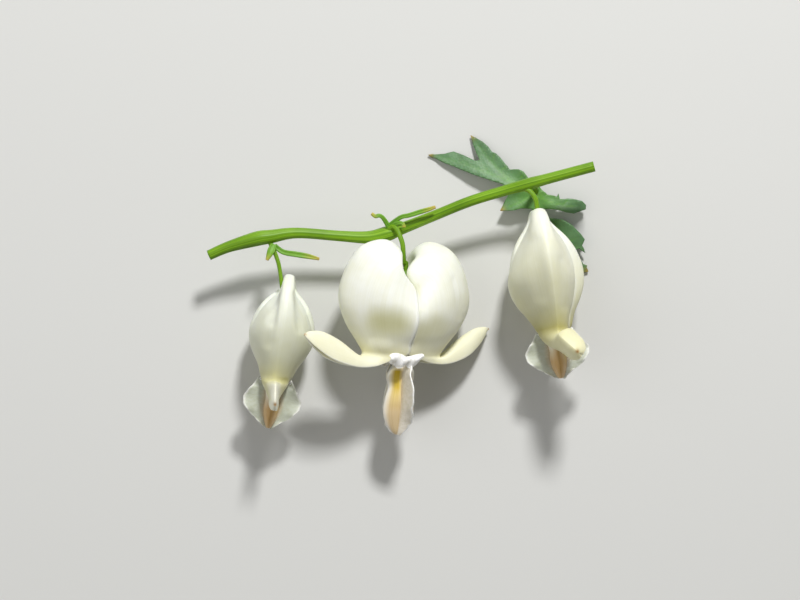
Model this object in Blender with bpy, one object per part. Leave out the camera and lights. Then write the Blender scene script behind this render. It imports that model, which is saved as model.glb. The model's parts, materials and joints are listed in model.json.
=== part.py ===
# Bleeding heart flower stem: three white heart flowers and one lobed leaf on a cut stem, laid down.
# Lengths in the tables are millimetres. +X runs along the stem, +Y to its upper side, +Z up from the surface.

import math

import bmesh
import bpy
from mathutils import Matrix, Vector

MM = 0.001
WALL = 0.65
GAP = 0.35
SPOT_DEPTH = 0.15
SHARP_ANGLE = math.radians(40)

# How finely the petals, the wings and the ears are cut: rows from root to tip, places across
PETAL_ROWS = 22
PETAL_COLUMNS = 11
INNER_ROWS = 15
INNER_COLUMNS = 7
WING_ROWS = 13
WING_COLUMNS = 4
EAR_ROWS = 9
EAR_COLUMNS = 3

HEART_HALF_WIDTH = 10.2
NECK_LEVEL = -16.9
TIP_LEVEL = -29.0
LEFT_SIZE = 0.8
RIGHT_SIZE = 0.88
LEFT_NARROWING = 0.92

# Heights of the flowers' axes over the surface: the side flowers' lower pouches rest on it,
# and the middle one hangs from its stalk
MIDDLE_HEIGHT = 8.4
LEFT_HEIGHT = LEFT_SIZE * LEFT_NARROWING * HEART_HALF_WIDTH - SPOT_DEPTH
RIGHT_HEIGHT = RIGHT_SIZE * HEART_HALF_WIDTH - SPOT_DEPTH

# A flower's own frame: x to one lobe, y up the axis from the tip, z to the front, y = 0 at the lobes' top
RECEPTACLE_TOP = -4.85
RECEPTACLE_UNDER = -5.35
RECEPTACLE_RADIUS = 1.2
ROOT_LEVEL = RECEPTACLE_UNDER - GAP
ROOT_SLANT = 0.02

# How far a petal's section runs from its keel round to its margins, in degrees
POUCH_TURN = 98.0
INNER_TURN = 90.0

# A wall is never more than this share of its petal's depth, and a petal's hollow never less of its width,
# nor less of it where the ridge is pinched
WALL_SHARE = 0.6
HOLLOW_SHARE = 0.35
PINCHED_SHARE = 0.25
FULL_PINCH = 0.3

# Where the ridge of a pouch is pinched, where the pouch drifts aside and where its ridge does,
# as shares of the way to the neck
PINCH_PLACE = 0.3
PINCH_REACH = 0.4
PINCH_PEAK = 6.75
DRIFT_PLACE = 0.68
DRIFT_REACH = 0.46
RIDGE_DRIFT_PLACE = 0.7
RIDGE_DRIFT_REACH = 0.5

# Notch between the lobes: how far it reaches, and the depth over which the front of a pouch follows it
NOTCH_REACH = 2.9
NOTCH_START = 0.8
NOTCH_DEPTH = 1.6

# Shares of a tip's length: where it has turned aside, and where it starts to round off
TURN_LENGTH = 0.35
ROUND_START = 0.5
ROUND_POWER = 2.0
ROUND_LEAST = 0.12

# Outer petal, root to neck: margin x, y, then keel x, y, then half width
POUCH = [
    (0.85, ROOT_LEVEL - ROOT_SLANT, 1.50, ROOT_LEVEL + ROOT_SLANT, 0.45),
    (0.70, -6.05, 1.60, -3.80, 1.60),
    (0.30, -6.40, 1.30, -1.35, 3.05),
    (0.22, -7.20, 3.50, 0.20, 4.25),
    (0.22, -8.35, 6.95, -0.85, 5.15),
    (0.22, -9.70, 9.00, -3.60, 5.80),
    (0.22, -11.00, 10.10, -6.80, 6.10),
    (0.22, -12.50, 10.10, -9.70, 5.85),
    (0.22, -14.10, 8.90, -12.60, 4.90),
    (0.35, -15.50, 7.10, -15.20, 3.70),
    (1.00, NECK_LEVEL, 6.20, -16.70, 2.90),
]

# The pouch's rows that a petal's own crown breadth changes
CROWN_ROWS = (1, 2)

# Folded-back tip, seen from the neck: margin, keel and half width as above
BLADE = [
    (2.70, -18.10, 6.50, -17.35, 2.40),
    (4.90, -18.90, 7.70, -17.00, 2.15),
    (7.90, -19.10, 10.10, -15.30, 2.10),
    (11.60, -18.20, 13.00, -14.10, 1.80),
    (14.40, -16.50, 15.20, -14.10, 1.05),
    (16.10, -15.00, 16.35, -14.55, 0.25),
]

# The tip of a younger flower, which only arches out and down
ARCHED_BLADE = [
    (2.70, -18.40, 6.50, -17.50, 2.40),
    (4.30, -20.20, 8.20, -17.50, 2.30),
    (6.20, -22.00, 10.00, -18.40, 2.30),
    (8.00, -23.20, 11.20, -20.20, 2.30),
    (9.40, -24.20, 11.80, -22.00, 2.05),
    (10.50, -24.40, 11.40, -23.40, 1.90),
]

# The tip on the side that a flower lies on, rolled up along the pouch
ROLLED_BLADE = [
    (2.70, -18.20, 6.40, -17.30, 2.40),
    (5.00, -19.30, 7.35, -17.00, 2.15),
    (7.80, -19.40, 8.60, -16.10, 2.05),
    (9.90, -17.20, 9.20, -14.60, 1.70),
    (10.20, -14.80, 9.70, -13.60, 0.95),
    (10.20, -13.20, 10.05, -13.05, 0.25),
]

# Inner petal: level, margin and keel out from the axis, half width
INNER = [
    (ROOT_LEVEL, 0.62, 1.22, 0.35),
    (-8.00, 0.75, 1.35, 0.45),
    (-12.00, 0.85, 1.50, 0.60),
    (-15.50, 0.80, 1.50, 0.80),
    (-17.60, 0.55, 1.50, 1.30),
    (-19.40, 0.30, 1.50, 2.30),
    (-20.60, -0.05, 1.45, 2.45),
    (-22.00, -0.20, 1.30, 2.10),
    (-23.80, -0.20, 1.45, 2.60),
    (-25.80, -0.20, 1.30, 2.75),
    (-27.40, -0.20, 0.95, 2.15),
    (-28.50, -0.20, 0.65, 1.25),
    (-29.00, -0.20, 0.35, 0.60),
]

# The back one of the two inner petals lies a little lower and to one side
BACK_PETAL_OFFSET = (0.07, -0.09, 0.0)

# Thin wing along the back of an inner petal: level, root and edge out from the axis, how far its edge leans
WING = [
    (-17.30, 1.00, 3.30, 0.35),
    (-18.60, 1.05, 3.85, 0.40),
    (-20.00, 1.05, 4.60, 0.30),
    (-21.60, 1.00, 5.30, 0.30),
    (-23.20, 1.05, 5.50, 0.50),
    (-24.80, 1.05, 4.85, 0.75),
    (-26.20, 0.90, 3.60, 1.05),
    (-27.40, 0.70, 2.40, 1.20),
    (-28.40, 0.45, 1.45, 0.80),
    (-28.95, 0.15, 0.75, 0.30),
]
WING_WAVE = 0.32
WING_WAVE_TURN = 1.7
LEANING_WING_CALM = 0.22
WING_BEND = 1.4

# Frilled ears across the top of the wing: sideways place, upper and lower level
EAR = [
    (-2.45, -17.55, -17.95),
    (-1.70, -17.15, -18.60),
    (-0.80, -17.45, -18.95),
    (0.00, -17.55, -18.70),
    (0.80, -17.45, -18.95),
    (1.70, -17.15, -18.60),
    (2.45, -17.55, -17.95),
]
OPEN_EAR = [
    (-2.50, -17.40, -18.00),
    (-2.15, -17.15, -18.40),
    (-1.35, -17.15, -18.75),
    (-0.60, -17.25, -18.85),
    (0.00, -17.45, -18.45),
    (0.45, -17.40, -18.35),
    (1.00, -17.20, -18.90),
    (1.80, -17.15, -17.95),
    (2.60, -17.15, -17.75),
]
EAR_BEND = 0.12
EAR_WAVE = 0.15

# Column of stamens round the pistil: level and radius
COLUMN = [
    (ROOT_LEVEL, 0.28),
    (-10.00, 0.32),
    (-16.00, 0.38),
    (-22.00, 0.42),
    (-24.00, 0.45),
    (-25.60, 0.36),
    (-26.60, 0.18),
]
COLUMN_ROWS = 9
COLUMN_SIDES = 12
COLUMN_RIBS = 0.07

# Main stem: x, y, z, radius
STEM = [
    (-28.70, 6.70, 7.60, 0.76),
    (-25.80, 7.95, 7.80, 0.84),
    (-21.60, 9.15, 8.00, 1.10),
    (-19.40, 9.50, 7.90, 1.02),
    (-15.45, 10.05, 7.60, 0.80),
    (-9.00, 9.60, 7.10, 0.80),
    (-4.80, 9.40, 6.90, 0.95),
    (-1.95, 9.95, 6.85, 1.12),
    (0.20, 10.70, 6.95, 0.90),
    (5.25, 12.70, 7.40, 0.78),
    (10.50, 14.80, 8.00, 0.78),
    (15.75, 16.40, 8.40, 0.80),
    (19.00, 17.30, 8.90, 0.90),
    (22.50, 18.25, 9.20, 0.80),
    (29.10, 20.00, 9.60, 0.78),
]
STEM_ROWS = 34
STEM_SIDES = 12
STEM_RIBS = 0.035
STALK_ROWS = 12
STALK_SIDES = 6

LEFT_STALK = [
    (-19.60, 8.80, 7.90, 0.36),
    (-18.95, 7.50, 8.10, 0.32),
    (-18.25, 5.55, 8.25, 0.30),
    (-17.90, 3.60, 8.20, 0.30),
    (-17.60, 1.60, 8.05, 0.32),
]

MIDDLE_STALK = [
    (-1.75, 10.60, 7.30, 0.50),
    (-1.00, 11.05, 8.05, 0.42),
    (-0.35, 10.40, 8.60, 0.37),
    (0.05, 9.45, 8.95, 0.36),
    (0.40, 8.30, 9.05, 0.35),
    (0.50, 6.90, 8.95, 0.35),
    (0.60, 5.60, 8.65, 0.35),
]

RIGHT_STALK = [
    (18.40, 16.90, 8.80, 0.50),
    (19.50, 16.25, 9.20, 0.38),
    (20.30, 15.10, 9.30, 0.37),
    (20.60, 13.40, 9.15, 0.37),
    (20.85, 11.60, 8.95, 0.38),
]

# Bracts at the nodes: x, y, z, half width
LEFT_SMALL_BRACT = [
    (-18.90, 8.30, 8.40, 0.35),
    (-19.35, 7.30, 8.90, 0.48),
    (-19.95, 5.95, 9.10, 0.08),
]
LEFT_LONG_BRACT = [
    (-18.80, 8.10, 8.00, 0.30),
    (-17.50, 7.20, 8.40, 0.30),
    (-15.60, 6.85, 8.60, 0.34),
    (-13.80, 6.55, 8.50, 0.30),
    (-12.10, 6.15, 8.30, 0.08),
]
MIDDLE_TENDRIL = [
    (-1.70, 11.00, 7.60, 0.40),
    (-2.50, 12.25, 8.40, 0.24),
    (-3.10, 12.65, 8.70, 0.20),
    (-3.70, 12.55, 8.80, 0.17),
    (-4.25, 12.95, 8.70, 0.08),
]
MIDDLE_LONG_BRACT = [
    (-1.80, 11.00, 7.50, 0.34),
    (0.00, 12.35, 8.50, 0.26),
    (1.40, 12.70, 8.95, 0.28),
    (3.00, 13.20, 9.10, 0.32),
    (4.20, 13.55, 9.30, 0.26),
    (5.35, 13.95, 9.40, 0.08),
]
MIDDLE_CURL = [
    (-1.30, 11.10, 7.80, 0.30),
    (-0.20, 11.55, 8.70, 0.22),
    (0.45, 11.35, 9.00, 0.20),
    (0.60, 10.90, 9.05, 0.08),
]
BRACT_ROWS = 8
BRACT_SIDES = 6
BRACT_THICKNESS = 0.62
UPRIGHT = Vector((0, 0, 1))
CURL_FACING = Vector((0.3, 0.6, 0.7))

# Receptacle: height over its top or foot, and radius; the stalk ends inside it
RECEPTACLE_COLLAR = 0.5
RECEPTACLE_SIDES = 10
STALK_SEAT = 0.2
STALK_APPROACH = 1.6

# Leaf: outline of the whole cut blade, x and y, anticlockwise from the tip of its left lobe
LEAF_OUTLINE = [
    (4.30, 22.05), (6.75, 20.80), (8.40, 20.15), (11.40, 18.90), (13.70, 18.15), (15.60, 17.55),
    (16.80, 16.60), (16.00, 15.20), (15.15, 13.55), (17.25, 13.55), (18.30, 13.85), (19.90, 13.80),
    (20.75, 12.95), (21.25, 12.05), (21.75, 11.20), (22.20, 10.50), (22.75, 9.75), (23.30, 8.95),
    (24.10, 8.05), (25.30, 7.30), (26.30, 6.60), (26.90, 5.30), (27.40, 4.60), (27.90, 4.10), (28.60, 4.30),
    (28.30, 4.75), (28.40, 5.20), (27.80, 5.40), (27.05, 6.40), (26.60, 7.30), (27.00, 7.85),
    (28.10, 7.10), (27.60, 8.25), (28.00, 9.15), (27.40, 9.95), (26.10, 11.25), (24.50, 12.15),
    (22.85, 12.25), (22.10, 12.40), (21.60, 13.05), (21.60, 13.75), (22.60, 13.75), (24.10, 13.60),
    (25.40, 13.30), (26.40, 13.15), (28.15, 13.75), (28.20, 14.40),
    (27.60, 15.00), (26.10, 15.30), (24.20, 15.30), (24.00, 16.05), (23.80, 15.65), (22.30, 15.95),
    (21.45, 16.70), (20.80, 17.60), (19.35, 18.50), (18.60, 19.40), (17.90, 19.75), (16.60, 19.75),
    (15.90, 20.60), (15.10, 21.65), (14.60, 22.10), (13.90, 22.50), (13.30, 23.30), (12.45, 24.05),
    (10.70, 25.05), (11.10, 23.50), (11.60, 22.20), (12.10, 21.20), (11.40, 21.10), (9.70, 21.95),
    (8.10, 22.55), (6.75, 22.20),
]
LEAF_CENTRE = (20.6, 16.1)
LEAF_ARCH_HEIGHT = 2.6
LEAF_ARCH_REACH = 16.0
LEAF_ARCH_POWER = 1.6
LEAF_FOLDS = 7
LEAF_FOLD_HEIGHT = 0.35
LEAF_FOLD_REACH = 6.0
LEAF_DROP = 0.62
LEAF_SAG = 1.5
LEAF_SAG_CENTRE = (22.0, 10.4)
LEAF_SAG_REACH = 2.45
LEAF_THICKNESS = 0.6
LEAF_GRID = 2.4
LEAF_SPANS = (((1, 0, 0), 4.0, 29.0), ((0, 1, 0), 4.0, 25.0))
LEAF_STALK_ROWS = 9
LEAF_STALK_SIDES = 8
LEAF_STALK = [
    (20.55, 16.50, 2.00, 0.50),
    (20.40, 17.00, 4.00, 0.42),
    (20.10, 17.45, 6.20, 0.42),
    (19.90, 17.60, 7.75, 0.50),
]

# The heart of a side flower is longer toward its neck, with the same tip
LEFT_LENGTHENING = 1.15
RIGHT_LENGTHENING = 1.22

# Outer petals: the tip, how far it reaches out, rises and swings to the front, the breadths of tip, crown
# and pouch, the drift of the pouch and of its ridge to the front, where the two petals close above the neck
# and part at it, the notch between the lobes and its level, how far the tip is turned to the front in degrees
# and whether it is rounded off
PLAIN_PETAL = dict(
    blade=BLADE, reach=1.0, rise=0.0, swing=0.0, tip_breadth=1.0, crown_breadth=1.0, pouch_breadth=1.0,
    drift=0.0, ridge_drift=0.0, closing=0.35, parting=1.0, notch=0.0, notch_level=-4.0, turned_out=0.0,
    round_end=False)
UNDER_LEFT = dict(PLAIN_PETAL, blade=ROLLED_BLADE, crown_breadth=0.85, drift=0.1)
UPPER_LEFT = dict(
    PLAIN_PETAL, blade=ARCHED_BLADE, swing=0.8, tip_breadth=0.42, pouch_breadth=0.92, round_end=True)
MIDDLE_RIGHT_LOBE = dict(
    PLAIN_PETAL, reach=0.84, rise=2.3, swing=-2.4, closing=0.25, parting=0.35, notch=1.5, notch_level=-4.3)
MIDDLE_LEFT_LOBE = dict(
    PLAIN_PETAL, swing=2.4, pouch_breadth=1.02, crown_breadth=0.75, closing=0.25, parting=0.35, notch=1.05,
    notch_level=-3.9)
UNDER_RIGHT = dict(PLAIN_PETAL, blade=ROLLED_BLADE, pouch_breadth=1.05, crown_breadth=0.9, drift=0.2)
UPPER_RIGHT = dict(
    PLAIN_PETAL, blade=ARCHED_BLADE, rise=-1.3, tip_breadth=0.88, pouch_breadth=0.92, crown_breadth=0.85,
    drift=-1.0, ridge_drift=1.6, turned_out=46.0, round_end=True)

# Flowers: size and width across the lobes, place of the lobes' top, turn about the axis and lean in degrees,
# lengthening of the heart, sharpness of the pouches' ridge and how far their tops are pinched to it,
# the ears, their breadth, distance and sideways place, the breadth of the inner petals, the lean of their
# wings, and the two outer petals
FLOWERS = {
    "left": dict(
        size=LEFT_SIZE, narrowing=LEFT_NARROWING, top=(-16.55, 3.70, LEFT_HEIGHT), turn=91.0, lean=-8.0,
        lengthening=LEFT_LENGTHENING, ridge=1.2, pinch=0.7, ear=EAR, ears=0.3, ear_distance=2.6,
        ear_place=0.0, inner_breadth=1.0, wing_lean=0.0, petals=(UNDER_LEFT, UPPER_LEFT)),
    "middle": dict(
        size=1.0, narrowing=1.0, top=(1.05, 8.75, MIDDLE_HEIGHT), turn=20.0, lean=-3.0,
        lengthening=1.0, ridge=1.05, pinch=-0.25, ear=OPEN_EAR, ears=1.0, ear_distance=3.5,
        ear_place=-0.6, inner_breadth=0.88, wing_lean=1.0, petals=(MIDDLE_RIGHT_LOBE, MIDDLE_LEFT_LOBE)),
    "right": dict(
        size=RIGHT_SIZE, narrowing=1.0, top=(20.50, 13.50, RIGHT_HEIGHT), turn=90.0, lean=8.3,
        lengthening=RIGHT_LENGTHENING, ridge=1.45, pinch=0.45, ear=EAR, ears=0.3, ear_distance=2.6,
        ear_place=0.0, inner_breadth=1.0, wing_lean=0.0, petals=(UNDER_RIGHT, UPPER_RIGHT)),
}


def clear_scene():
    for item in list(bpy.data.objects):
        bpy.data.objects.remove(item, do_unlink=True)


def material(name, colour, roughness):
    shade = bpy.data.materials.new(name)
    shade.use_nodes = True
    shader = shade.node_tree.nodes["Principled BSDF"]
    shader.inputs["Base Color"].default_value = (*colour, 1.0)
    shader.inputs["Roughness"].default_value = roughness
    shader.inputs["Metallic"].default_value = 0.0
    return shade


def smooth_rows(rows, count):
    """Points on a smooth curve through the rows, evenly spaced in the rows' numbering."""
    last = len(rows) - 1
    result = []
    for step in range(count):
        place = last * step / (count - 1)
        i = min(int(place), last - 1)
        f = place - i
        before = rows[max(i - 1, 0)]
        here = rows[i]
        after = rows[i + 1]
        beyond = rows[min(i + 2, last)]
        row = []
        for a, b, c, d in zip(before, here, after, beyond):
            slope_b = 0.5 * (c - a)
            slope_c = 0.5 * (d - b)
            cube = 2 * b - 2 * c + slope_b + slope_c
            square = -3 * b + 3 * c - 2 * slope_b - slope_c
            row.append(((cube * f + square) * f + slope_b) * f + b)
        result.append(row)
    return result


def add_object(name, bm, shade, collection=None):
    bmesh.ops.recalc_face_normals(bm, faces=bm.faces)
    mesh = bpy.data.meshes.new(name)
    bm.to_mesh(mesh)
    bm.free()
    mesh.materials.append(shade)
    mesh.shade_smooth()
    mesh.set_sharp_from_angle(angle=SHARP_ANGLE)
    item = bpy.data.objects.new(name, mesh)
    (collection or bpy.context.scene.collection).objects.link(item)
    return item


def add_strip(bm, first, second, flip):
    """Triangles between two equal lines of vertices, all split along the same diagonal."""
    for a, b, c, d in zip(first, first[1:], second[1:], second):
        if flip:
            bm.faces.new((a, c, b))
            bm.faces.new((a, d, c))
        else:
            bm.faces.new((a, b, c))
            bm.faces.new((a, c, d))


def close_sheet(outer, inner):
    """A closed body between two grids of points that match one to one."""
    bm = bmesh.new()
    top = [[bm.verts.new(p) for p in line] for line in outer]
    under = [[bm.verts.new(p) for p in line] for line in inner]
    for a, b in zip(top, top[1:]):
        add_strip(bm, a, b, False)
    for a, b in zip(under, under[1:]):
        add_strip(bm, a, b, True)
    add_strip(bm, top[0], under[0], True)
    add_strip(bm, top[-1], under[-1], False)
    add_strip(bm, [line[0] for line in top], [line[0] for line in under], False)
    add_strip(bm, [line[-1] for line in top], [line[-1] for line in under], True)
    return bm


def arc_line(margin, keel, half_width, count, turn, ridge=1.0, pinch=0.0):
    """Half a section from the back margin round the keel to the front margin, as (out, up, across)."""
    line = []
    limit = math.radians(turn)
    for step in range(count):
        angle = limit * (2.0 * step / (count - 1) - 1.0)
        outward = (math.cos(angle) - math.cos(limit)) / (1.0 - math.cos(limit))
        spread = abs(math.sin(angle)) ** ridge
        spread *= 1 - pinch * PINCH_PEAK * spread ** 2 * (1 - spread)
        point = margin.lerp(keel, outward)
        line.append((point.x, point.y, math.copysign(spread, angle) * half_width))
    return line


def hump(value, middle, reach):
    """1 at the middle, falling smoothly to 0 at the reach on either side."""
    share = min(abs(value - middle) / reach, 1.0)
    return (1 - share * share) ** 2


def longer(level, lengthening):
    """A level in a flower whose heart is longer, while its tip stays."""
    if level > NECK_LEVEL:
        return level * (1 + (lengthening - 1) * (level / NECK_LEVEL) ** 2)
    neck = NECK_LEVEL * lengthening
    return neck + (level - NECK_LEVEL) * (TIP_LEVEL - neck) / (TIP_LEVEL - NECK_LEVEL)


def skins(station, wall, columns, turn, ridge=1.0, pinch=0.0):
    """One row of a hollow petal's outer and inner skin."""
    margin = Vector(station[0:2])
    keel = Vector(station[2:4])
    half_width = station[4]
    span = keel - margin
    inner_keel = keel - span.normalized() * min(wall, WALL_SHARE * span.length)
    inner_width = max(half_width - wall, HOLLOW_SHARE * half_width)
    outer = arc_line(margin, keel, half_width, columns, turn, ridge, pinch)
    inner = []
    pinched = min(max(pinch / FULL_PINCH, 0.0), 1.0)
    for (x, y, z), (_, _, z_out) in zip(
            arc_line(margin, inner_keel, inner_width, columns, turn, ridge, pinch), outer):
        z_in = max(abs(z_out) - wall, PINCHED_SHARE * abs(z_out))
        inner.append((x, y, math.copysign(abs(z) + (z_in - abs(z)) * pinched, z)))
    return outer, inner


def wall_of(flower):
    """The wall in the flower's own millimetres that is WALL thick once the flower is made smaller."""
    return WALL / (flower["size"] * flower["narrowing"])


def place_grid(grid, turn):
    return [[turn @ Vector(point) for point in line] for line in grid]


def flower_frame(flower):
    """From a flower's own millimetres to the part's metres."""
    spot = Matrix.Translation(Vector(flower["top"]) * MM)
    leaning = Matrix.Rotation(math.radians(flower["lean"]), 4, "Z")
    turned = Matrix.Rotation(math.radians(flower["turn"]), 4, "Y")
    size = flower["size"] * MM
    return spot @ leaning @ turned @ Matrix.Diagonal((size * flower["narrowing"], size, size, 1.0))


def petal_stations(flower, petal):
    """The outer petal's stations from its root to its tip, with its own tip and the flower's own length."""
    crook = POUCH[-1][2]
    rows = []
    for number, row in enumerate(POUCH):
        crown = petal["crown_breadth"] if number in CROWN_ROWS else 1.0
        rows.append((*row[:4], row[4] * petal["pouch_breadth"] * crown))
    rows[-2] = (petal["closing"], *rows[-2][1:])
    rows[-1] = (petal["parting"], *rows[-1][1:])
    for number, (mx, my, kx, ky, width) in enumerate(petal["blade"]):
        breadth = 1 + (petal["tip_breadth"] - 1) * min(number / 2, 1)
        reached = [crook + (x - crook) * petal["reach"] if x > crook else x for x in (mx, kx)]
        rows.append((reached[0], my, reached[1], ky, width * breadth))
    return [
        (mx, longer(my, flower["lengthening"]), kx, longer(ky, flower["lengthening"]), width)
        for mx, my, kx, ky, width in rows]


def outer_petal(name, flower, side, shade):
    """One pouched outer petal; side is +1 or -1 along the flower's x."""
    petal = flower["petals"][0 if side > 0 else 1]
    stations = petal_stations(flower, petal)
    neck = (len(POUCH) - 1) / (len(stations) - 1)
    neck_level = longer(NECK_LEVEL, flower["lengthening"])
    outer = []
    inner = []
    for number, station in enumerate(smooth_rows(stations, PETAL_ROWS)):
        place = number / (PETAL_ROWS - 1)
        at_top = hump(place, neck * PINCH_PLACE, neck * PINCH_REACH)
        ridge = 1 + (flower["ridge"] - 1) * (1 - at_top)
        pinch = flower["pinch"] * at_top
        tip_share = max(0.0, (place - neck) / (1 - neck))
        if petal["round_end"] and tip_share > ROUND_START:
            rounded = 1 - ((tip_share - ROUND_START) / (1 - ROUND_START)) ** ROUND_POWER
            station[4] *= max(rounded ** 0.5, ROUND_LEAST)
        turned = min(tip_share / TURN_LENGTH, 1.0)
        angle = side * math.radians(petal["turned_out"]) * turned * turned * (3 - 2 * turned)
        drift = petal["drift"] * hump(place, neck * DRIFT_PLACE, neck * DRIFT_REACH)
        ridge_drift = petal["ridge_drift"] * hump(place, neck * RIDGE_DRIFT_PLACE, neck * RIDGE_DRIFT_REACH)
        swing = petal["swing"] * tip_share ** 1.5
        lines = skins(station, wall_of(flower), PETAL_COLUMNS, POUCH_TURN, ridge, pinch)
        for grid, line in zip((outer, inner), lines):
            row = []
            for step, (x, y, z) in enumerate(line):
                u = 2 * step / (PETAL_COLUMNS - 1) - 1
                front = min(max((side * z - NOTCH_START) / NOTCH_DEPTH, 0.0), 1.0)
                near = hump(math.hypot(x, y - petal["notch_level"]), 0.0, NOTCH_REACH)
                x -= side * petal["notch"] * front * near
                z += side * (drift + ridge_drift * (1 - u * u) ** 2)
                fall = y - neck_level
                y = neck_level + fall * math.cos(angle) + z * math.sin(angle)
                z = z * math.cos(angle) - fall * math.sin(angle)
                row.append((x, y + petal["rise"] * tip_share, z + side * swing))
            grid.append(row)
    turn = flower_frame(flower) @ Matrix.Rotation(0.0 if side > 0 else math.pi, 4, "Y")
    bm = close_sheet(place_grid(outer, turn), place_grid(inner, turn))
    return add_object(name, bm, shade)


def sheet_between(lines, normal, thickness):
    half = normal * (thickness / 2)
    return ([[p + half for p in line] for line in lines], [[p - half for p in line] for line in lines])


def wing_sheet(flower, side):
    """The thin waved wing on the back of one inner petal."""
    lines = []
    last = WING_COLUMNS - 1
    amplitude = WING_WAVE - LEANING_WING_CALM * flower["wing_lean"]
    for number, (level, root, edge, lean) in enumerate(smooth_rows(WING, WING_ROWS)):
        level = longer(level, flower["lengthening"])
        line = []
        for step in range(WING_COLUMNS):
            out = root + (edge - root) * step / last
            wave = amplitude * (step / last) ** 2 * math.sin(WING_WAVE_TURN * number)
            wave += side * flower["wing_lean"] * lean * (step / last) ** WING_BEND
            line.append(Vector((wave, level, side * out)))
        lines.append(line)
    top, under = sheet_between(lines, Vector((1, 0, 0)), wall_of(flower))
    frame = flower_frame(flower)
    return close_sheet(place_grid(top, frame), place_grid(under, frame))


def ear_sheet(flower, side):
    """The frilled ear at the top of the wing."""
    lines = []
    last = EAR_COLUMNS - 1
    for number, (across, top_level, low_level) in enumerate(smooth_rows(flower["ear"], EAR_ROWS)):
        top_level = longer(top_level, flower["lengthening"])
        depth = (longer(low_level, flower["lengthening"]) - top_level) * flower["ears"]
        wave = EAR_WAVE * math.cos(0.5 * math.pi * number)
        out = side * (flower["ear_distance"] + EAR_BEND * abs(across) + wave)
        place = across * flower["ears"] + flower["ear_place"]
        lines.append([Vector((place, top_level + depth * step / last, out)) for step in range(EAR_COLUMNS)])
    top, under = sheet_between(lines, UPRIGHT, wall_of(flower))
    frame = flower_frame(flower)
    return close_sheet(place_grid(top, frame), place_grid(under, frame))


def fuse(name, meshes, shade):
    """One body from overlapping bodies, by a Boolean union on a collection."""
    holder = bpy.data.collections.new(name + "_pieces")
    bpy.context.scene.collection.children.link(holder)
    base = add_object(name, meshes[0], shade)
    for number, bm in enumerate(meshes[1:]):
        add_object(name + "_piece_" + str(number), bm, shade, holder)
    union = base.modifiers.new("Union", "BOOLEAN")
    union.operation = "UNION"
    union.operand_type = "COLLECTION"
    union.collection = holder
    union.solver = "EXACT"
    graph = bpy.context.evaluated_depsgraph_get()
    joined = bpy.data.meshes.new_from_object(base.evaluated_get(graph))
    base.modifiers.clear()
    base.data = joined
    for piece in list(holder.objects):
        bpy.data.objects.remove(piece, do_unlink=True)
    bpy.data.collections.remove(holder)
    joined.materials.clear()
    joined.materials.append(shade)
    joined.shade_smooth()
    joined.set_sharp_from_angle(angle=SHARP_ANGLE)
    return base


def inner_petals(name, flower, shade):
    """Two spoon-shaped petals grown together at their tips, each with its wing and ear."""
    levels = [longer(row[0], flower["lengthening"]) for row in INNER]
    breadth = flower["inner_breadth"]
    stations = [(row[1], level, row[2], level, row[3] * breadth) for row, level in zip(INNER, levels)]
    rows = [
        skins(station, wall_of(flower), INNER_COLUMNS, INNER_TURN)
        for station in smooth_rows(stations, INNER_ROWS)]
    outer, inner = zip(*rows)
    frame = flower_frame(flower)
    meshes = []
    for side in (1, -1):
        offset = Matrix.Translation(Vector(BACK_PETAL_OFFSET if side < 0 else (0, 0, 0)))
        turn = frame @ offset @ Matrix.Rotation(math.radians(-90 * side), 4, "Y")
        meshes.append(close_sheet(place_grid(outer, turn), place_grid(inner, turn)))
        meshes.append(wing_sheet(flower, side))
        meshes.append(ear_sheet(flower, side))
    return fuse(name, meshes, shade)


def sweep(route, rows, sides, ribs=0.0, across=None, flat=None, frame=None):
    """A capped tube along the route; with across and flat it is a thin blade, lying across that direction."""
    rows_here = smooth_rows(route, rows)
    points = [Vector(row[:3]) for row in rows_here]
    bm = bmesh.new()
    rings = []
    for i, point in enumerate(points):
        ahead = (points[min(i + 1, rows - 1)] - points[max(i - 1, 0)]).normalized()
        side = (across or UPRIGHT).cross(ahead).normalized()
        over = ahead.cross(side)
        radius = rows_here[i][3]
        ring = []
        for step in range(sides):
            angle = 2 * math.pi * step / sides
            swell = 1 + ribs * (1 if step % 2 else -1)
            high = (flat / 2) if flat else radius * swell
            offset = side * (radius * swell * math.cos(angle)) + over * (high * math.sin(angle))
            ring.append(bm.verts.new(((frame or Matrix.Scale(MM, 4)) @ (point + offset))))
        rings.append(ring)
    for a, b in zip(rings, rings[1:]):
        add_strip(bm, a + a[:1], b + b[:1], False)
    bm.faces.new(rings[0])
    bm.faces.new(rings[-1])
    return bm


def receptacle(flower):
    """Small disc at the end of a flower's stalk, over the petals' roots."""
    shape = (
        (RECEPTACLE_TOP + RECEPTACLE_COLLAR, 0.34), (RECEPTACLE_TOP, 0.60),
        (RECEPTACLE_TOP - 0.1, RECEPTACLE_RADIUS), (RECEPTACLE_UNDER, RECEPTACLE_RADIUS))
    route = [(0.0, longer(level, flower["lengthening"]), 0.0, radius) for level, radius in shape]
    return sweep(route, len(shape), RECEPTACLE_SIDES, frame=flower_frame(flower))


def column(name, flower, shade):
    """The stamens round the pistil, six low ribs on one slim column."""
    route = [(0.0, longer(level, flower["lengthening"]), 0.0, radius) for level, radius in COLUMN]
    body = sweep(route, COLUMN_ROWS, COLUMN_SIDES, ribs=COLUMN_RIBS, frame=flower_frame(flower))
    return add_object(name, body, shade)


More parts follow.
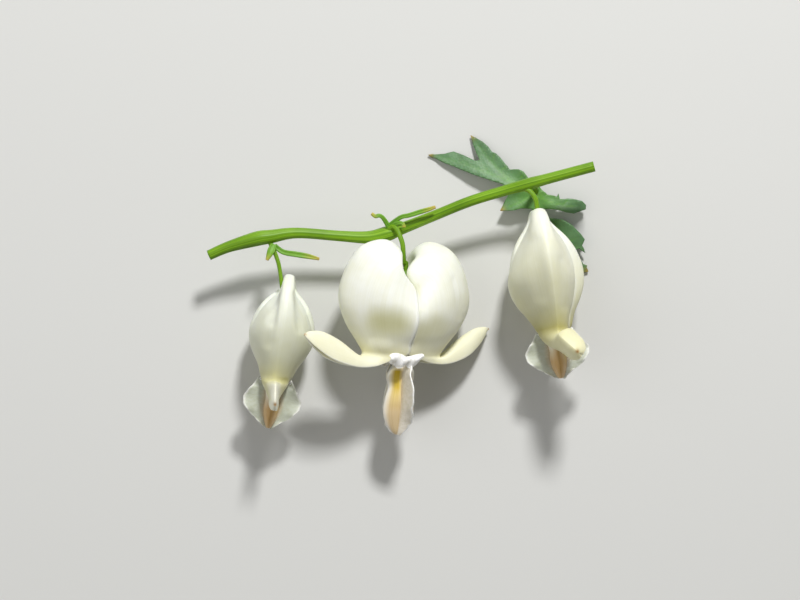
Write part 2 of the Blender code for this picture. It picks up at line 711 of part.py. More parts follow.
def stem(shade):
    """The ribbed main stem with its stalks, receptacles and bracts, grown as one."""
    meshes = [sweep(STEM, STEM_ROWS, STEM_SIDES, ribs=STEM_RIBS)]
    for route, flower in zip((LEFT_STALK, MIDDLE_STALK, RIGHT_STALK), FLOWERS.values()):
        frame = flower_frame(flower)
        heights = (RECEPTACLE_TOP + STALK_APPROACH, RECEPTACLE_TOP + STALK_SEAT)
        levels = [longer(height, flower["lengthening"]) for height in heights]
        above, seat = [(frame @ Vector((0, level, 0))) / MM for level in levels]
        thin = route[-1][3]
        meshes.append(sweep(route + [(*above, thin), (*seat, thin)], STALK_ROWS, STALK_SIDES))
        meshes.append(receptacle(flower))
    bracts = (LEFT_SMALL_BRACT, LEFT_LONG_BRACT, MIDDLE_TENDRIL, MIDDLE_LONG_BRACT, MIDDLE_CURL)
    for route in bracts:
        facing = CURL_FACING if route is MIDDLE_CURL else UPRIGHT
        meshes.append(sweep(route, BRACT_ROWS, BRACT_SIDES, across=facing, flat=BRACT_THICKNESS))
    return fuse("stem", meshes, shade)


def leaf_height(x, y):
    """Height of the leaf's blade: arched down from its centre to its tips, waved, sagging under a flower."""
    distance = math.hypot(x - LEAF_CENTRE[0], y - LEAF_CENTRE[1])
    angle = math.atan2(y - LEAF_CENTRE[1], x - LEAF_CENTRE[0])
    arch = LEAF_ARCH_HEIGHT * max(0.0, 1 - (distance / LEAF_ARCH_REACH) ** LEAF_ARCH_POWER)
    fold = LEAF_FOLD_HEIGHT * (1 + math.sin(LEAF_FOLDS * angle)) * min(distance / LEAF_FOLD_REACH, 1)
    near = math.hypot(x - LEAF_SAG_CENTRE[0], y - LEAF_SAG_CENTRE[1]) / LEAF_SAG_REACH
    return arch - LEAF_DROP + fold - LEAF_SAG * math.exp(-near ** 2)


def leaf(shade):
    """The lobed and toothed leaf behind the stem, with its stalk."""
    bm = bmesh.new()
    bm.faces.new([bm.verts.new((x, y, 0.0)) for x, y in LEAF_OUTLINE])
    for normal, first, last in LEAF_SPANS:
        place = first + LEAF_GRID / 2
        while place < last:
            everything = bm.verts[:] + bm.edges[:] + bm.faces[:]
            bmesh.ops.bisect_plane(
                bm, geom=everything, plane_co=Vector(normal) * place, plane_no=normal, dist=1e-4)
            place += LEAF_GRID
    bmesh.ops.triangulate(bm, faces=bm.faces[:])
    bm.verts.ensure_lookup_table()
    spots = [(v.co.x, v.co.y) for v in bm.verts]
    faces = [[v.index for v in f.verts] for f in bm.faces]
    border = [(e.verts[0].index, e.verts[1].index) for e in bm.edges if e.is_boundary]
    bm.free()
    blade = bmesh.new()
    top = [blade.verts.new(Vector((x, y, leaf_height(x, y) + LEAF_THICKNESS)) * MM) for x, y in spots]
    under = [blade.verts.new(Vector((x, y, leaf_height(x, y))) * MM) for x, y in spots]
    for a, b, c in faces:
        blade.faces.new((top[a], top[b], top[c]))
        blade.faces.new((under[a], under[c], under[b]))
    for a, b in border:
        blade.faces.new((top[a], top[b], under[b]))
        blade.faces.new((top[a], under[b], under[a]))
    stalk = sweep(LEAF_STALK, LEAF_STALK_ROWS, LEAF_STALK_SIDES, across=Vector((1, 0, 0)))
    return fuse("leaf", [blade, stalk], shade)


def flatten_below(item):
    """A small flat spot wherever the piece presses on the surface."""
    bm = bmesh.new()
    bm.from_mesh(item.data)
    if min(v.co.z for v in bm.verts) < 0:
        everything = bm.verts[:] + bm.edges[:] + bm.faces[:]
        cut = bmesh.ops.bisect_plane(
            bm, geom=everything, dist=1e-7, plane_co=(0, 0, 0), plane_no=(0, 0, 1), clear_inner=True)
        edges = [e for e in cut["geom_cut"] if isinstance(e, bmesh.types.BMEdge)]
        bmesh.ops.holes_fill(bm, edges=edges, sides=0)
        bm.to_mesh(item.data)
    bm.free()


def centre_on_origin(items):
    """The origin goes to the middle of the box's underside."""
    xs = [v.co.x for item in items for v in item.data.vertices]
    ys = [v.co.y for item in items for v in item.data.vertices]
    shift = Matrix.Translation((-(min(xs) + max(xs)) / 2, -(min(ys) + max(ys)) / 2, 0))
    for item in items:
        item.data.transform(shift)


def main():
    clear_scene()
    white = material("petal_white", (0.85, 0.84, 0.74), 0.45)
    pale = material("inner_petal_pale", (0.72, 0.62, 0.45), 0.4)
    cream = material("stamen_cream", (0.8, 0.72, 0.4), 0.6)
    green = material("stem_green", (0.16, 0.38, 0.03), 0.45)
    leaf_green = material("leaf_green", (0.09, 0.24, 0.07), 0.55)
    items = []
    for name, flower in FLOWERS.items():
        items.append(outer_petal(name + "_outer_petal_a", flower, 1, white))
        items.append(outer_petal(name + "_outer_petal_b", flower, -1, white))
        items.append(inner_petals(name + "_inner_petals", flower, pale))
        items.append(column(name + "_stamens", flower, cream))
    items.append(stem(green))
    items.append(leaf(leaf_green))
    for item in items:
        flatten_below(item)
    centre_on_origin(items)


main()
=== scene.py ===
import json
import math

import bmesh
import bpy
from mathutils import Matrix, Vector, noise

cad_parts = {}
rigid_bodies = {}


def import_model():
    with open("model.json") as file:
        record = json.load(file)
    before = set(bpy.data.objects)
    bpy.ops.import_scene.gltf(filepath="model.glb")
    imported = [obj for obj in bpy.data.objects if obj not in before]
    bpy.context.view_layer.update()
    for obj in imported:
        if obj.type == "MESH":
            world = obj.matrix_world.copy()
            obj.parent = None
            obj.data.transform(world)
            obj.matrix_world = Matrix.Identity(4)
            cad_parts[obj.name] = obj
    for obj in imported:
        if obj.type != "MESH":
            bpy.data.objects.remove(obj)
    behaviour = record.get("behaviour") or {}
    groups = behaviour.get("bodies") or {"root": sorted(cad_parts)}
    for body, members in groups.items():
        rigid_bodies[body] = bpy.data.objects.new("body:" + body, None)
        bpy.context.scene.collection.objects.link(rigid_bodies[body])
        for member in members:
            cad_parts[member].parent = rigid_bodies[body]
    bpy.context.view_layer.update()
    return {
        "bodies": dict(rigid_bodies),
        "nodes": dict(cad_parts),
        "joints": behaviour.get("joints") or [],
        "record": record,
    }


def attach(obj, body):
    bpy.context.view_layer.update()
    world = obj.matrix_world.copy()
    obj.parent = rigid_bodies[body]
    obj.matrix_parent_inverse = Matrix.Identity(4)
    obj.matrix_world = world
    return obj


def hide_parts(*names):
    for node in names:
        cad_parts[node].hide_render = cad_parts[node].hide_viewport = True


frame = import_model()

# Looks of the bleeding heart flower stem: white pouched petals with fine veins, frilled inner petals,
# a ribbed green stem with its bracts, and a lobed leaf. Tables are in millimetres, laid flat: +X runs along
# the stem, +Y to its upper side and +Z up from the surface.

MM = 0.001

# Where the middle of the tables lies in the frame
SHIFT = Vector((-0.145, -2.357, 0.0))

PETAL_THICKNESS = 0.34
WING_THICKNESS = 0.2
EAR_THICKNESS = 0.28
BRACT_THICKNESS = 0.3
SPECK_SIZE = 0.32
SURFACE_CLEARANCE = 0.02

# Cells of the sheets, across and along, and of the tubes, round and along
INNER_CELLS = (20, 60)
WING_CELLS = (14, 90)
EAR_CELLS = (64, 20)
SMALL_EAR_CELLS = (20, 6)
PISTIL_CELLS = (12, 40)
STAMEN_CELLS = (8, 30)
BRACT_CELLS = (8, 44)
RECEPTACLE_CELLS = (24, 16)
STALK_CELLS = (24, 120)
STEM_CELLS = (60, 300)
LEAF_STALK_CELLS = (20, 40)

# Rim of a pouch: where it starts on a half section, its lip, and how far past the middle it is fullest
RIM_START = 0.88
LIP = 0.22
RIM_OFFSET = 0.03

# Humps along a pouch, their place and reach as shares of the way from root to neck
CROWN_HUMP = (0.3, 0.4)
DRIFT_HUMP = (0.68, 0.46)
RIDGE_DRIFT_HUMP = (0.7, 0.5)

# Makes the pinch of a section, s * s * (1 - s), at most 1
PINCH_PEAK = 27 / 4

# Notch between the lobes beside the stalk: how far forward it starts, over what depth it grows, its reach
NOTCH_START = 0.8
NOTCH_DEPTH = 1.6
NOTCH_REACH = 2.9

# The tip of a petal: where it starts to round off and how, the width left at its end, over what share of it
# the turn to the front is made, and how its swing grows
ROUND_START = 0.5
ROUND_POWER = 2.0
ROUND_LEAST = 0.02
TURN_LENGTH = 0.35
SWING_POWER = 1.5

# Low soft unevenness of a petal, its scale per metre, and the hump along the petal that fades it out
SOFT_RELIEF = 0.12
SOFT_RELIEF_SCALE = 260
SOFT_RELIEF_HUMP = (0.45, 0.5)

HEART_HALF_WIDTH = 10.2
NECK_LEVEL = -16.9
TIP_LEVEL = -29.0
LEFT_SIZE = 0.8
RIGHT_SIZE = 0.88
LEFT_NARROWING = 0.92
SPOT_DEPTH = 0.15

MIDDLE_HEIGHT = 8.4
LEFT_HEIGHT = LEFT_SIZE * LEFT_NARROWING * HEART_HALF_WIDTH - SPOT_DEPTH
RIGHT_HEIGHT = RIGHT_SIZE * HEART_HALF_WIDTH - SPOT_DEPTH

# A flower's own frame: x to one lobe, y up the axis, z to the front, with y = 0 at the lobes' top
RECEPTACLE_TOP = -4.85
RECEPTACLE_UNDER = -5.35
RECEPTACLE_RADIUS = 1.2
ROOT_LEVEL = -5.7

# Outer petal, root to neck: margin x, y, then keel x, y, then half width. Rows two and three are its crown
POUCH = [
    (0.85, -5.72, 1.50, -5.68, 0.45),
    (0.60, -6.00, 1.50, -3.80, 1.60),
    (0.20, -6.30, 1.15, -1.35, 3.05),
    (0.08, -7.10, 3.45, 0.20, 4.30),
    (0.06, -8.30, 6.95, -0.85, 5.20),
    (0.06, -9.70, 9.00, -3.60, 5.85),
    (0.06, -11.00, 10.10, -6.80, 6.15),
    (0.06, -12.50, 10.10, -9.70, 5.90),
    (0.10, -14.10, 8.90, -12.60, 4.95),
    (0.25, -15.50, 7.10, -15.20, 3.70),
    (1.00, NECK_LEVEL, 6.20, -16.70, 2.90),
]

# Folded-back tip of an open flower, seen from the neck: margin, keel and half width as above
BLADE = [
    (2.70, -18.10, 6.50, -17.35, 2.40),
    (4.90, -18.90, 7.70, -17.00, 2.15),
    (7.90, -19.10, 10.10, -15.30, 2.10),
    (11.60, -18.20, 13.00, -14.10, 1.80),
    (14.40, -16.50, 15.20, -14.10, 1.05),
    (16.10, -15.00, 16.35, -14.55, 0.25),
]

# Where the neck lies along a petal
NECK_PLACE = (len(POUCH) - 1) / (len(POUCH) + len(BLADE) - 1)

# The tip of a younger flower, which only arches out and down
ARCHED_BLADE = [
    (2.70, -18.40, 6.50, -17.50, 2.40),
    (4.30, -20.20, 8.20, -17.50, 2.30),
    (6.20, -22.00, 10.00, -18.40, 2.30),
    (8.00, -23.20, 11.20, -20.20, 2.30),
    (9.40, -24.20, 11.80, -22.00, 2.05),
    (10.50, -24.40, 11.40, -23.40, 1.90),
]

# The tip on the side that a flower lies on, rolled up along the pouch
ROLLED_BLADE = [
    (2.70, -18.20, 6.40, -17.30, 2.40),
    (5.00, -19.30, 7.35, -17.00, 2.15),
    (7.80, -19.40, 8.60, -16.10, 2.05),
    (9.90, -17.20, 9.20, -14.60, 1.70),
    (10.20, -14.80, 9.70, -13.60, 0.95),
    (10.20, -13.20, 10.05, -13.05, 0.25),
]

# Inner petal: level, margin and keel out from the axis, half width
INNER = [
    (ROOT_LEVEL, 0.62, 1.22, 0.35),
    (-8.00, 0.75, 1.35, 0.45),
    (-12.00, 0.85, 1.50, 0.60),
    (-15.50, 0.80, 1.50, 0.80),
    (-17.60, 0.55, 1.50, 1.30),
    (-19.40, 0.30, 1.50, 2.30),
    (-20.60, -0.05, 1.45, 2.45),
    (-22.00, -0.15, 1.30, 2.10),
    (-23.80, -0.15, 1.45, 2.60),
    (-25.80, -0.15, 1.30, 2.75),
    (-27.40, -0.15, 0.95, 2.15),
    (-28.50, -0.15, 0.62, 1.25),
    (-29.00, -0.15, 0.30, 0.55),
]

# Thin wing along the back of an inner petal: level, root and edge out from the axis, lean of its edge aside
WING = [
    (-17.30, 1.00, 3.30, 0.35),
    (-18.60, 1.05, 3.85, 0.40),
    (-20.00, 1.05, 4.60, 0.30),
    (-21.60, 1.00, 5.30, 0.30),
    (-23.20, 1.05, 5.50, 0.50),
    (-24.80, 1.05, 4.85, 0.75),
    (-26.20, 0.90, 3.60, 1.05),
    (-27.40, 0.70, 2.30, 1.20),
    (-28.40, 0.45, 1.30, 0.80),
    (-28.95, 0.15, 0.55, 0.30),
]

# The wing's slow wave, what a leaning wing loses of it and its pace, then its fine ruffle and nibbled edge
WING_WAVE = 0.32
WING_WAVE_LOSS = 0.22
WING_WAVE_PACE = 20.4
WING_LEAN_POWER = 1.4
RUFFLE = 0.07
RUFFLE_PACE = 44
RUFFLE_SWAY = 9
NIBBLE = 0.035
NIBBLE_PACES = (31, 13)

# Frilled ears across the top of the wing: sideways place, upper and lower level
EAR = [
    (-2.45, -17.55, -17.95),
    (-1.70, -17.15, -18.60),
    (-0.80, -17.45, -18.95),
    (0.00, -17.55, -18.70),
    (0.80, -17.45, -18.95),
    (1.70, -17.15, -18.60),
    (2.45, -17.55, -17.95),
]
OPEN_EAR = [
    (-2.50, -17.30, -17.75),
    (-2.15, -16.95, -18.40),
    (-1.35, -16.85, -18.75),
    (-0.60, -17.05, -18.85),
    (0.00, -17.35, -18.45),
    (0.45, -17.30, -18.35),
    (1.00, -17.10, -18.90),
    (1.80, -16.95, -17.95),
    (2.60, -16.85, -17.10),
]

# Folds of an ear: height, turns across and along it, start, and the share of the height at its root
EAR_FOLDS = (
    (0.26, 2.1, 0.3, 0.4, 0.35),
    (0.13, 5.3, -0.8, 1.1, 0.3),
)

# Crumples of an ear, the valley between its flaps, its rolled edge, the wave of that edge, and how far it
# stands out more at its sides
EAR_CRUMPLE = 0.34
EAR_CRUMPLE_SCALE = (5.2, 2.4)
EAR_CRUMPLE_SLICE = 1.7
EAR_VALLEY = 0.42
EAR_VALLEY_HUMP = (0.53, 0.1)
EAR_ROLL = 0.55
EAR_ROLL_SPAN = 1.15
EAR_ROLL_FALL = 0.25
EAR_WAVE = 0.1
EAR_WAVE_PACE = 15
EAR_SPREAD = 0.1

# Pistil and stamens: level, distance from the axis, radius
PISTIL = [
    (ROOT_LEVEL, 0.00, 0.14),
    (-16.00, 0.00, 0.12),
    (-25.40, 0.00, 0.10),
    (-26.20, 0.00, 0.20),
    (-26.60, 0.00, 0.10),
]
STAMEN = [
    (ROOT_LEVEL, 0.16, 0.11),
    (-10.00, 0.20, 0.11),
    (-16.00, 0.26, 0.10),
    (-23.90, 0.28, 0.09),
    (-24.60, 0.28, 0.20),
    (-25.40, 0.28, 0.10),
]
STAMEN_COUNT = 6

# Disc at the end of a flower's stalk: level and radius
RECEPTACLE = [
    (RECEPTACLE_TOP + 0.5, 0.34),
    (RECEPTACLE_TOP, 0.60),
    (RECEPTACLE_TOP - 0.1, RECEPTACLE_RADIUS - 0.1),
    (RECEPTACLE_UNDER + 0.05, RECEPTACLE_RADIUS),
    (RECEPTACLE_UNDER, RECEPTACLE_RADIUS - 0.2),
]

# How far above the receptacle's top a stalk ends, and where it comes into the flower's axis
STALK_END = 0.2
STALK_ON_AXIS = 1.6

# Main stem: x, y, z, radius
STEM = [
    (-28.70, 6.70, 7.60, 0.76),
    (-25.80, 7.95, 7.80, 0.84),
    (-21.60, 9.15, 8.00, 1.10),
    (-19.40, 9.50, 7.90, 1.02),
    (-15.45, 10.05, 7.60, 0.80),
    (-9.00, 9.60, 7.10, 0.80),
    (-4.80, 9.40, 6.90, 0.95),
    (-1.95, 9.95, 6.85, 1.12),
    (0.20, 10.70, 6.95, 0.90),
    (5.25, 12.70, 7.40, 0.78),
    (10.50, 14.80, 8.00, 0.78),
    (15.75, 16.40, 8.40, 0.80),
    (19.00, 17.30, 8.90, 0.90),
    (22.50, 18.25, 9.20, 0.80),
    (29.10, 20.00, 9.60, 0.78),
]

# The flowers' stalks, as far as the flowers' axes
LEFT_STALK = [
    (-19.60, 8.80, 7.90, 0.36),
    (-18.95, 7.50, 8.10, 0.32),
    (-18.25, 5.55, 8.25, 0.30),
    (-17.90, 3.60, 8.20, 0.30),
    (-17.60, 1.60, 8.05, 0.32),
]

MIDDLE_STALK = [
    (-1.75, 10.60, 7.30, 0.50),
    (-1.00, 11.05, 8.05, 0.42),
    (-0.35, 10.40, 8.60, 0.37),
    (0.05, 9.45, 8.95, 0.36),
    (0.40, 8.30, 9.05, 0.35),
    (0.50, 6.90, 8.95, 0.35),
    (0.60, 5.60, 8.65, 0.35),
]

RIGHT_STALK = [
    (18.40, 16.90, 8.80, 0.50),
    (19.50, 16.25, 9.20, 0.38),
    (20.30, 15.10, 9.30, 0.37),
    (20.60, 13.40, 9.15, 0.37),
    (20.85, 11.60, 8.95, 0.38),
]

# Bracts at the nodes: x, y, z, half width
LEFT_SMALL_BRACT = [
    (-18.90, 8.30, 8.40, 0.35),
    (-19.35, 7.30, 8.90, 0.48),
    (-19.95, 5.95, 9.10, 0.08),
]
LEFT_LONG_BRACT = [
    (-18.80, 8.10, 8.00, 0.30),
    (-17.50, 7.20, 8.40, 0.30),
    (-15.60, 6.85, 8.60, 0.34),
    (-13.80, 6.55, 8.50, 0.30),
    (-12.10, 6.15, 8.30, 0.08),
]
MIDDLE_TENDRIL = [
    (-1.70, 11.00, 7.60, 0.40),
    (-2.50, 12.25, 8.40, 0.24),
    (-3.10, 12.65, 8.70, 0.20),
    (-3.70, 12.55, 8.80, 0.17),
    (-4.25, 12.95, 8.70, 0.08),
]
MIDDLE_LONG_BRACT = [
    (-1.80, 11.00, 7.50, 0.34),
    (0.00, 12.35, 8.50, 0.26),
    (1.40, 12.70, 8.95, 0.28),
    (3.00, 13.20, 9.10, 0.32),
    (4.20, 13.55, 9.30, 0.26),
    (5.35, 13.95, 9.40, 0.08),
]
MIDDLE_CURL = [
    (-1.30, 11.10, 7.80, 0.30),
    (-0.20, 11.55, 8.70, 0.22),
    (0.45, 11.35, 9.00, 0.20),
    (0.60, 10.90, 9.05, 0.08),
]

# Each bract's route, and how slim it is
BRACTS = (
    (LEFT_SMALL_BRACT, 0.95),
    (LEFT_LONG_BRACT, 0.9),
    (MIDDLE_TENDRIL, 0.5),
    (MIDDLE_LONG_BRACT, 0.65),
    (MIDDLE_CURL, 0.55),
)

# A bract's height over its route, the depth of its channel, and the step that gives its direction
BRACT_LIFT = 0.25
BRACT_CHANNEL = 0.35
BRACT_STEP = 0.01

# Low ribs along the stem and the stalks, as shares of the radius
STEM_RIBS = 0.022
STEM_RIB_COUNT = 9
STALK_RIBS = 0.03

# Leaf: outline of the whole cut blade, x and y, anticlockwise from the tip of its left lobe
LEAF_OUTLINE = [
    (4.30, 22.05), (6.75, 20.80), (8.40, 20.15), (11.40, 18.90), (13.70, 18.15), (15.60, 17.55),
    (16.80, 16.60), (16.00, 15.20), (15.15, 13.55), (17.25, 13.55), (18.30, 13.85), (19.90, 13.80),
    (20.75, 12.95), (21.25, 12.05), (21.75, 11.20), (22.20, 10.50), (22.75, 9.75), (23.30, 8.95),
    (24.10, 8.05), (25.30, 7.30), (26.30, 6.60), (26.90, 5.30), (27.40, 4.60), (27.90, 4.10), (28.60, 4.30),
    (28.30, 4.75), (28.40, 5.20), (27.80, 5.40), (27.05, 6.40), (26.60, 7.30), (27.00, 7.85),
    (28.10, 7.10), (27.60, 8.25), (28.00, 9.15), (27.40, 9.95), (26.10, 11.25), (24.50, 12.15),
    (22.85, 12.25), (22.10, 12.40), (21.60, 13.05), (21.60, 13.75), (22.60, 13.75), (24.10, 13.60),
    (25.40, 13.30), (26.40, 13.15), (28.15, 13.75), (28.20, 14.40),
    (27.60, 15.00), (26.10, 15.30), (24.20, 15.30), (24.00, 16.05), (23.80, 15.65), (22.30, 15.95),
    (21.45, 16.70), (20.80, 17.60), (19.35, 18.50), (18.60, 19.40), (17.90, 19.75), (16.60, 19.75),
    (15.90, 20.60), (15.10, 21.65), (14.60, 22.10), (13.90, 22.50), (13.30, 23.30), (12.45, 24.05),
    (10.70, 25.05), (11.10, 23.50), (11.60, 22.20), (12.10, 21.20), (11.40, 21.10), (9.70, 21.95),
    (8.10, 22.55), (6.75, 22.20),
]

# The blade: its centre, the spans that are cut into cells, the arch, folds and puckers, how far it all drops
# and sags under the right flower, and how far its upper face lies above its underside
LEAF_CENTRE = (20.6, 16.1)
LEAF_CELL = 0.3
LEAF_SPAN_X = (4.0, 29.0)
LEAF_SPAN_Y = (4.0, 25.2)
LEAF_ARCH_HEIGHT = 2.6
LEAF_ARCH_REACH = 16.0
LEAF_ARCH_POWER = 1.6
LEAF_FOLDS = 7
LEAF_FOLD_HEIGHT = 0.35
LEAF_FOLD_REACH = 6.0
LEAF_PUCKER = 0.07
LEAF_PUCKER_SCALE = 0.9
LEAF_DROP = 0.62
LEAF_SAG = 1.5
LEAF_SAG_CENTRE = (22.0, 10.4)
LEAF_SAG_REACH = 2.45
LEAF_TOP = 0.6
LEAF_THICKNESS = 0.3

# The leaf's stalk: x, y, z, radius
LEAF_STALK = [
    (20.55, 16.50, 2.30, 0.50),
    (20.40, 17.00, 4.00, 0.42),
    (20.10, 17.45, 6.20, 0.42),
    (19.90, 17.60, 7.75, 0.50),
]

# Ribs of the leaf, each from the centre out, and the side ribs that branch from them
LEAF_RIBS = [
    [(20.6, 16.1), (17.6, 17.6), (14.2, 18.9), (10.6, 20.3), (7.4, 21.4), (4.9, 22.0)],
    [(17.0, 17.9), (15.2, 19.4), (13.6, 21.2), (12.2, 23.0), (11.0, 24.7)],
    [(20.6, 16.1), (18.6, 15.0), (17.0, 14.3), (15.5, 13.8)],
    [(20.6, 16.1), (22.4, 14.9), (24.6, 14.3), (26.6, 14.1), (28.0, 14.0)],
    [(20.6, 16.1), (21.1, 13.4), (21.7, 12.0), (22.7, 10.4), (24.6, 8.9), (26.4, 7.2), (27.6, 5.0),
     (28.3, 4.6)],
]
LEAF_SIDE_RIBS = [
    [(14.2, 18.9), (12.9, 20.0), (12.2, 20.9)],
    [(10.6, 20.3), (9.4, 21.2), (8.4, 22.2)],
    [(18.6, 17.1), (18.6, 18.2), (18.1, 19.4)],
    [(15.0, 19.6), (16.0, 20.0), (15.9, 20.5)],
    [(13.9, 20.9), (14.2, 21.6), (14.2, 22.2)],
    [(24.4, 9.0), (24.2, 10.6), (23.4, 11.9)],
    [(25.0, 8.6), (26.6, 9.3), (27.6, 9.3)],
    [(26.1, 8.2), (27.2, 7.9), (27.7, 7.6)],
    [(24.6, 14.3), (25.2, 14.9), (25.4, 15.2)],
]

# Half width of a rib at its foot, its taper and least half width, and the depth of its groove
RIB_WIDTH = 0.34
SIDE_RIB_WIDTH = 0.2
RIB_TAPER = 0.8
RIB_LEAST_WIDTH = 0.05
RIB_GROOVE = 0.09

# The ribs' bright green: how far it reaches from the leaf's centre, its share far out, and the centre's own
RIB_GREEN_REACH = 5.5
RIB_GREEN_OUTSIDE = 0.25
CENTRE_GREEN = 0.7

# Dry points of the leaf's lobes, and how far the straw colour reaches from them
LEAF_TIPS = [(4.30, 22.05), (10.70, 25.05), (15.15, 13.55), (28.60, 4.30)]
DRY_REACH = 0.7

# The heart of a side flower is longer toward its neck, with the same tip
LEFT_LENGTHENING = 1.15
RIGHT_LENGTHENING = 1.22

PLAIN_PETAL = dict(
    # The tip: its rows, how far it reaches out, rises and swings to the front, its breadth, its turn to the
    # front in degrees, whether its end is round, and how far along the petal the brown speck lies
    blade=BLADE, reach=1.0, rise=0.0, swing=0.0, tip_breadth=1.0, turned_out=0.0, round_end=False, speck=1.0,
    # The pouch: the breadth of its crown and of the whole, how far it and its ridge drift to the front, and
    # the notch beside the stalk with its level
    crown_breadth=1.0, pouch_breadth=1.0, drift=0.0, ridge_drift=0.0, notch=0.0, notch_level=-4.0,
    # The margins: how far the back and front ones are turned in, how far round they curl in degrees, how far
    # they lap over the other petal, and how far from the seam they lie just above the neck and at it
    turned_in=(0.0, 0.0), curl=90.0, lap=0.0, closing=0.35, parting=1.0,
    # Dents and painted shadows, each a line from x, y to x, y, its half width, and its depth or strength
    dents=(), shadows=(),
    # The sheet's cells, across and along
    columns=44, rows=96)

# The outer petals of the left, middle and right flower
UNDER_LEFT = dict(
    PLAIN_PETAL, blade=ROLLED_BLADE, pouch_breadth=1.02, crown_breadth=0.85, drift=0.1, turned_in=(0.9, 0.9),
    curl=98.0, lap=0.5, columns=36, rows=72)
UPPER_LEFT = dict(
    PLAIN_PETAL, blade=ARCHED_BLADE, swing=0.8, tip_breadth=0.42, pouch_breadth=0.92, round_end=True,
    speck=0.97,
    dents=(
        (-18.2, 2.2, -19.1, -3.4, 0.9, 0.32), (-18.9, -0.5, -19.6, -6.4, 1.15, 0.2),
        (-15.4, 0.9, -14.9, -4.4, 0.8, 0.24), (-14.9, -3.4, -14.8, -6.6, 1.1, 0.08)),
    shadows=(
        (-20.6, -12.0, -17.0, -12.0, 0.7, 0.8), (-20.3, -12.4, -19.7, -14.6, 0.8, 0.9),
        (-17.2, -12.2, -17.6, -14.6, 0.75, 0.9)))
MIDDLE_RIGHT_LOBE = dict(
    PLAIN_PETAL, reach=0.84, rise=2.3, swing=-2.4, turned_in=(0.0, 0.3), curl=93.0, closing=0.1, parting=0.0,
    notch=1.5, notch_level=-4.3,
    dents=(
        (8.0, 3.2, 9.0, -2.6, 0.5, 0.24), (8.9, 2.8, 9.5, -1.4, 0.3, 0.12),
        (3.4, -4.4, 5.2, -3.8, 2.2, 0.2)),
    shadows=(
        (3.2, -5.2, 5.4, -4.0, 3.0, 0.6), (2.6, 1.9, 2.6, -1.6, 1.0, 0.6),
        (2.5, -2.0, 1.8, -6.2, 1.0, 0.5)))
MIDDLE_LEFT_LOBE = dict(
    PLAIN_PETAL, swing=2.4, pouch_breadth=1.03, crown_breadth=0.72, curl=93.0, lap=0.32, closing=0.1,
    parting=-0.1, notch=1.05, notch_level=-3.9,
    dents=(
        (-3.2, -3.4, -0.8, -3.6, 3.2, 0.3), (-4.1, 5.5, -1.2, 6.9, 1.0, 0.2),
        (-4.0, -6.9, -2.2, -7.1, 1.5, -0.25)),
    shadows=((-3.0, -3.4, -0.4, -3.6, 3.3, 1.0),))
UNDER_RIGHT = dict(
    PLAIN_PETAL, blade=ROLLED_BLADE, pouch_breadth=1.05, crown_breadth=0.9, drift=0.2, turned_in=(0.4, 2.7),
    curl=98.0, lap=0.7, columns=36, rows=72)
UPPER_RIGHT = dict(
    PLAIN_PETAL, blade=ARCHED_BLADE, rise=-1.3, tip_breadth=0.88, pouch_breadth=0.91, crown_breadth=0.85,
    drift=-1.0, ridge_drift=1.6, turned_out=46.0, round_end=True, speck=0.97,
    dents=((20.0, 8.6, 20.9, 0.6, 1.6, 0.18), (24.0, 6.0, 24.6, -1.0, 1.0, 0.18)))

# Flowers: size and width across the lobes, place of the lobes' top, turn about the axis and lean in degrees;
# lengthening of the heart, sharpness of the pouches' ridge, how far their crowns are pinched to the ridge;
# the ears, their share of the full size, distance from the axis and sideways place; the breadth of the inner
# petals, the lean of their wings; and the two outer petals
FLOWERS = {
    "left": dict(
        size=LEFT_SIZE, narrowing=LEFT_NARROWING, top=(-16.55, 3.70, LEFT_HEIGHT), turn=91.0, lean=-8.0,
        lengthening=LEFT_LENGTHENING, ridge=1.2, pinch=0.7, ear=EAR, ears=0.3, ear_distance=2.6,
        ear_shift=0.0, inner_breadth=1.0, wing_lean=0.0, petals=(UNDER_LEFT, UPPER_LEFT)),
    "middle": dict(
        size=1.0, narrowing=1.0, top=(1.05, 8.75, MIDDLE_HEIGHT), turn=20.0, lean=-3.0,
        lengthening=1.0, ridge=1.05, pinch=-0.25, ear=OPEN_EAR, ears=1.0, ear_distance=3.5,
        ear_shift=-0.6, inner_breadth=0.88, wing_lean=1.0, petals=(MIDDLE_RIGHT_LOBE, MIDDLE_LEFT_LOBE)),
    "right": dict(
        size=RIGHT_SIZE, narrowing=1.0, top=(20.50, 13.50, RIGHT_HEIGHT), turn=90.0, lean=8.3,
        lengthening=RIGHT_LENGTHENING, ridge=1.45, pinch=0.45, ear=EAR, ears=0.3, ear_distance=2.6,
        ear_shift=0.0, inner_breadth=1.0, wing_lean=0.0, petals=(UNDER_RIGHT, UPPER_RIGHT)),
}


# Modelling

def on_curve(rows, place):
    """The row at a place from 0 to 1 on a smooth curve through the rows."""
    last = len(rows) - 1
    spot = min(max(place, 0.0), 1.0) * last
    i = min(int(spot), last - 1)
    f = spot - i
    before = rows[max(i - 1, 0)]
    beyond = rows[min(i + 2, last)]
    row = []
    for a, b, c, d in zip(before, rows[i], rows[i + 1], beyond):
        slope_b = 0.5 * (c - a)
        slope_c = 0.5 * (d - b)
        cube = 2 * b - 2 * c + slope_b + slope_c
        square = -3 * b + 3 * c - 2 * slope_b - slope_c
        row.append(((cube * f + square) * f + slope_b) * f + b)
    return row


def hump(value, middle, width):
    """1 at the middle, falling smoothly to 0 at the width on either side."""
    reach = min(abs(value - middle) / width, 1.0)
    return (1 - reach * reach) ** 2


def nearest_on_line(point, start, end):
    """How far a point lies from a line, and how far along the line its nearest place is, from 0 to 1."""
    run = end - start
    share = min(max((point - start).dot(run) / run.length_squared, 0.0), 1.0)
    return (point - start - run * share).length, share


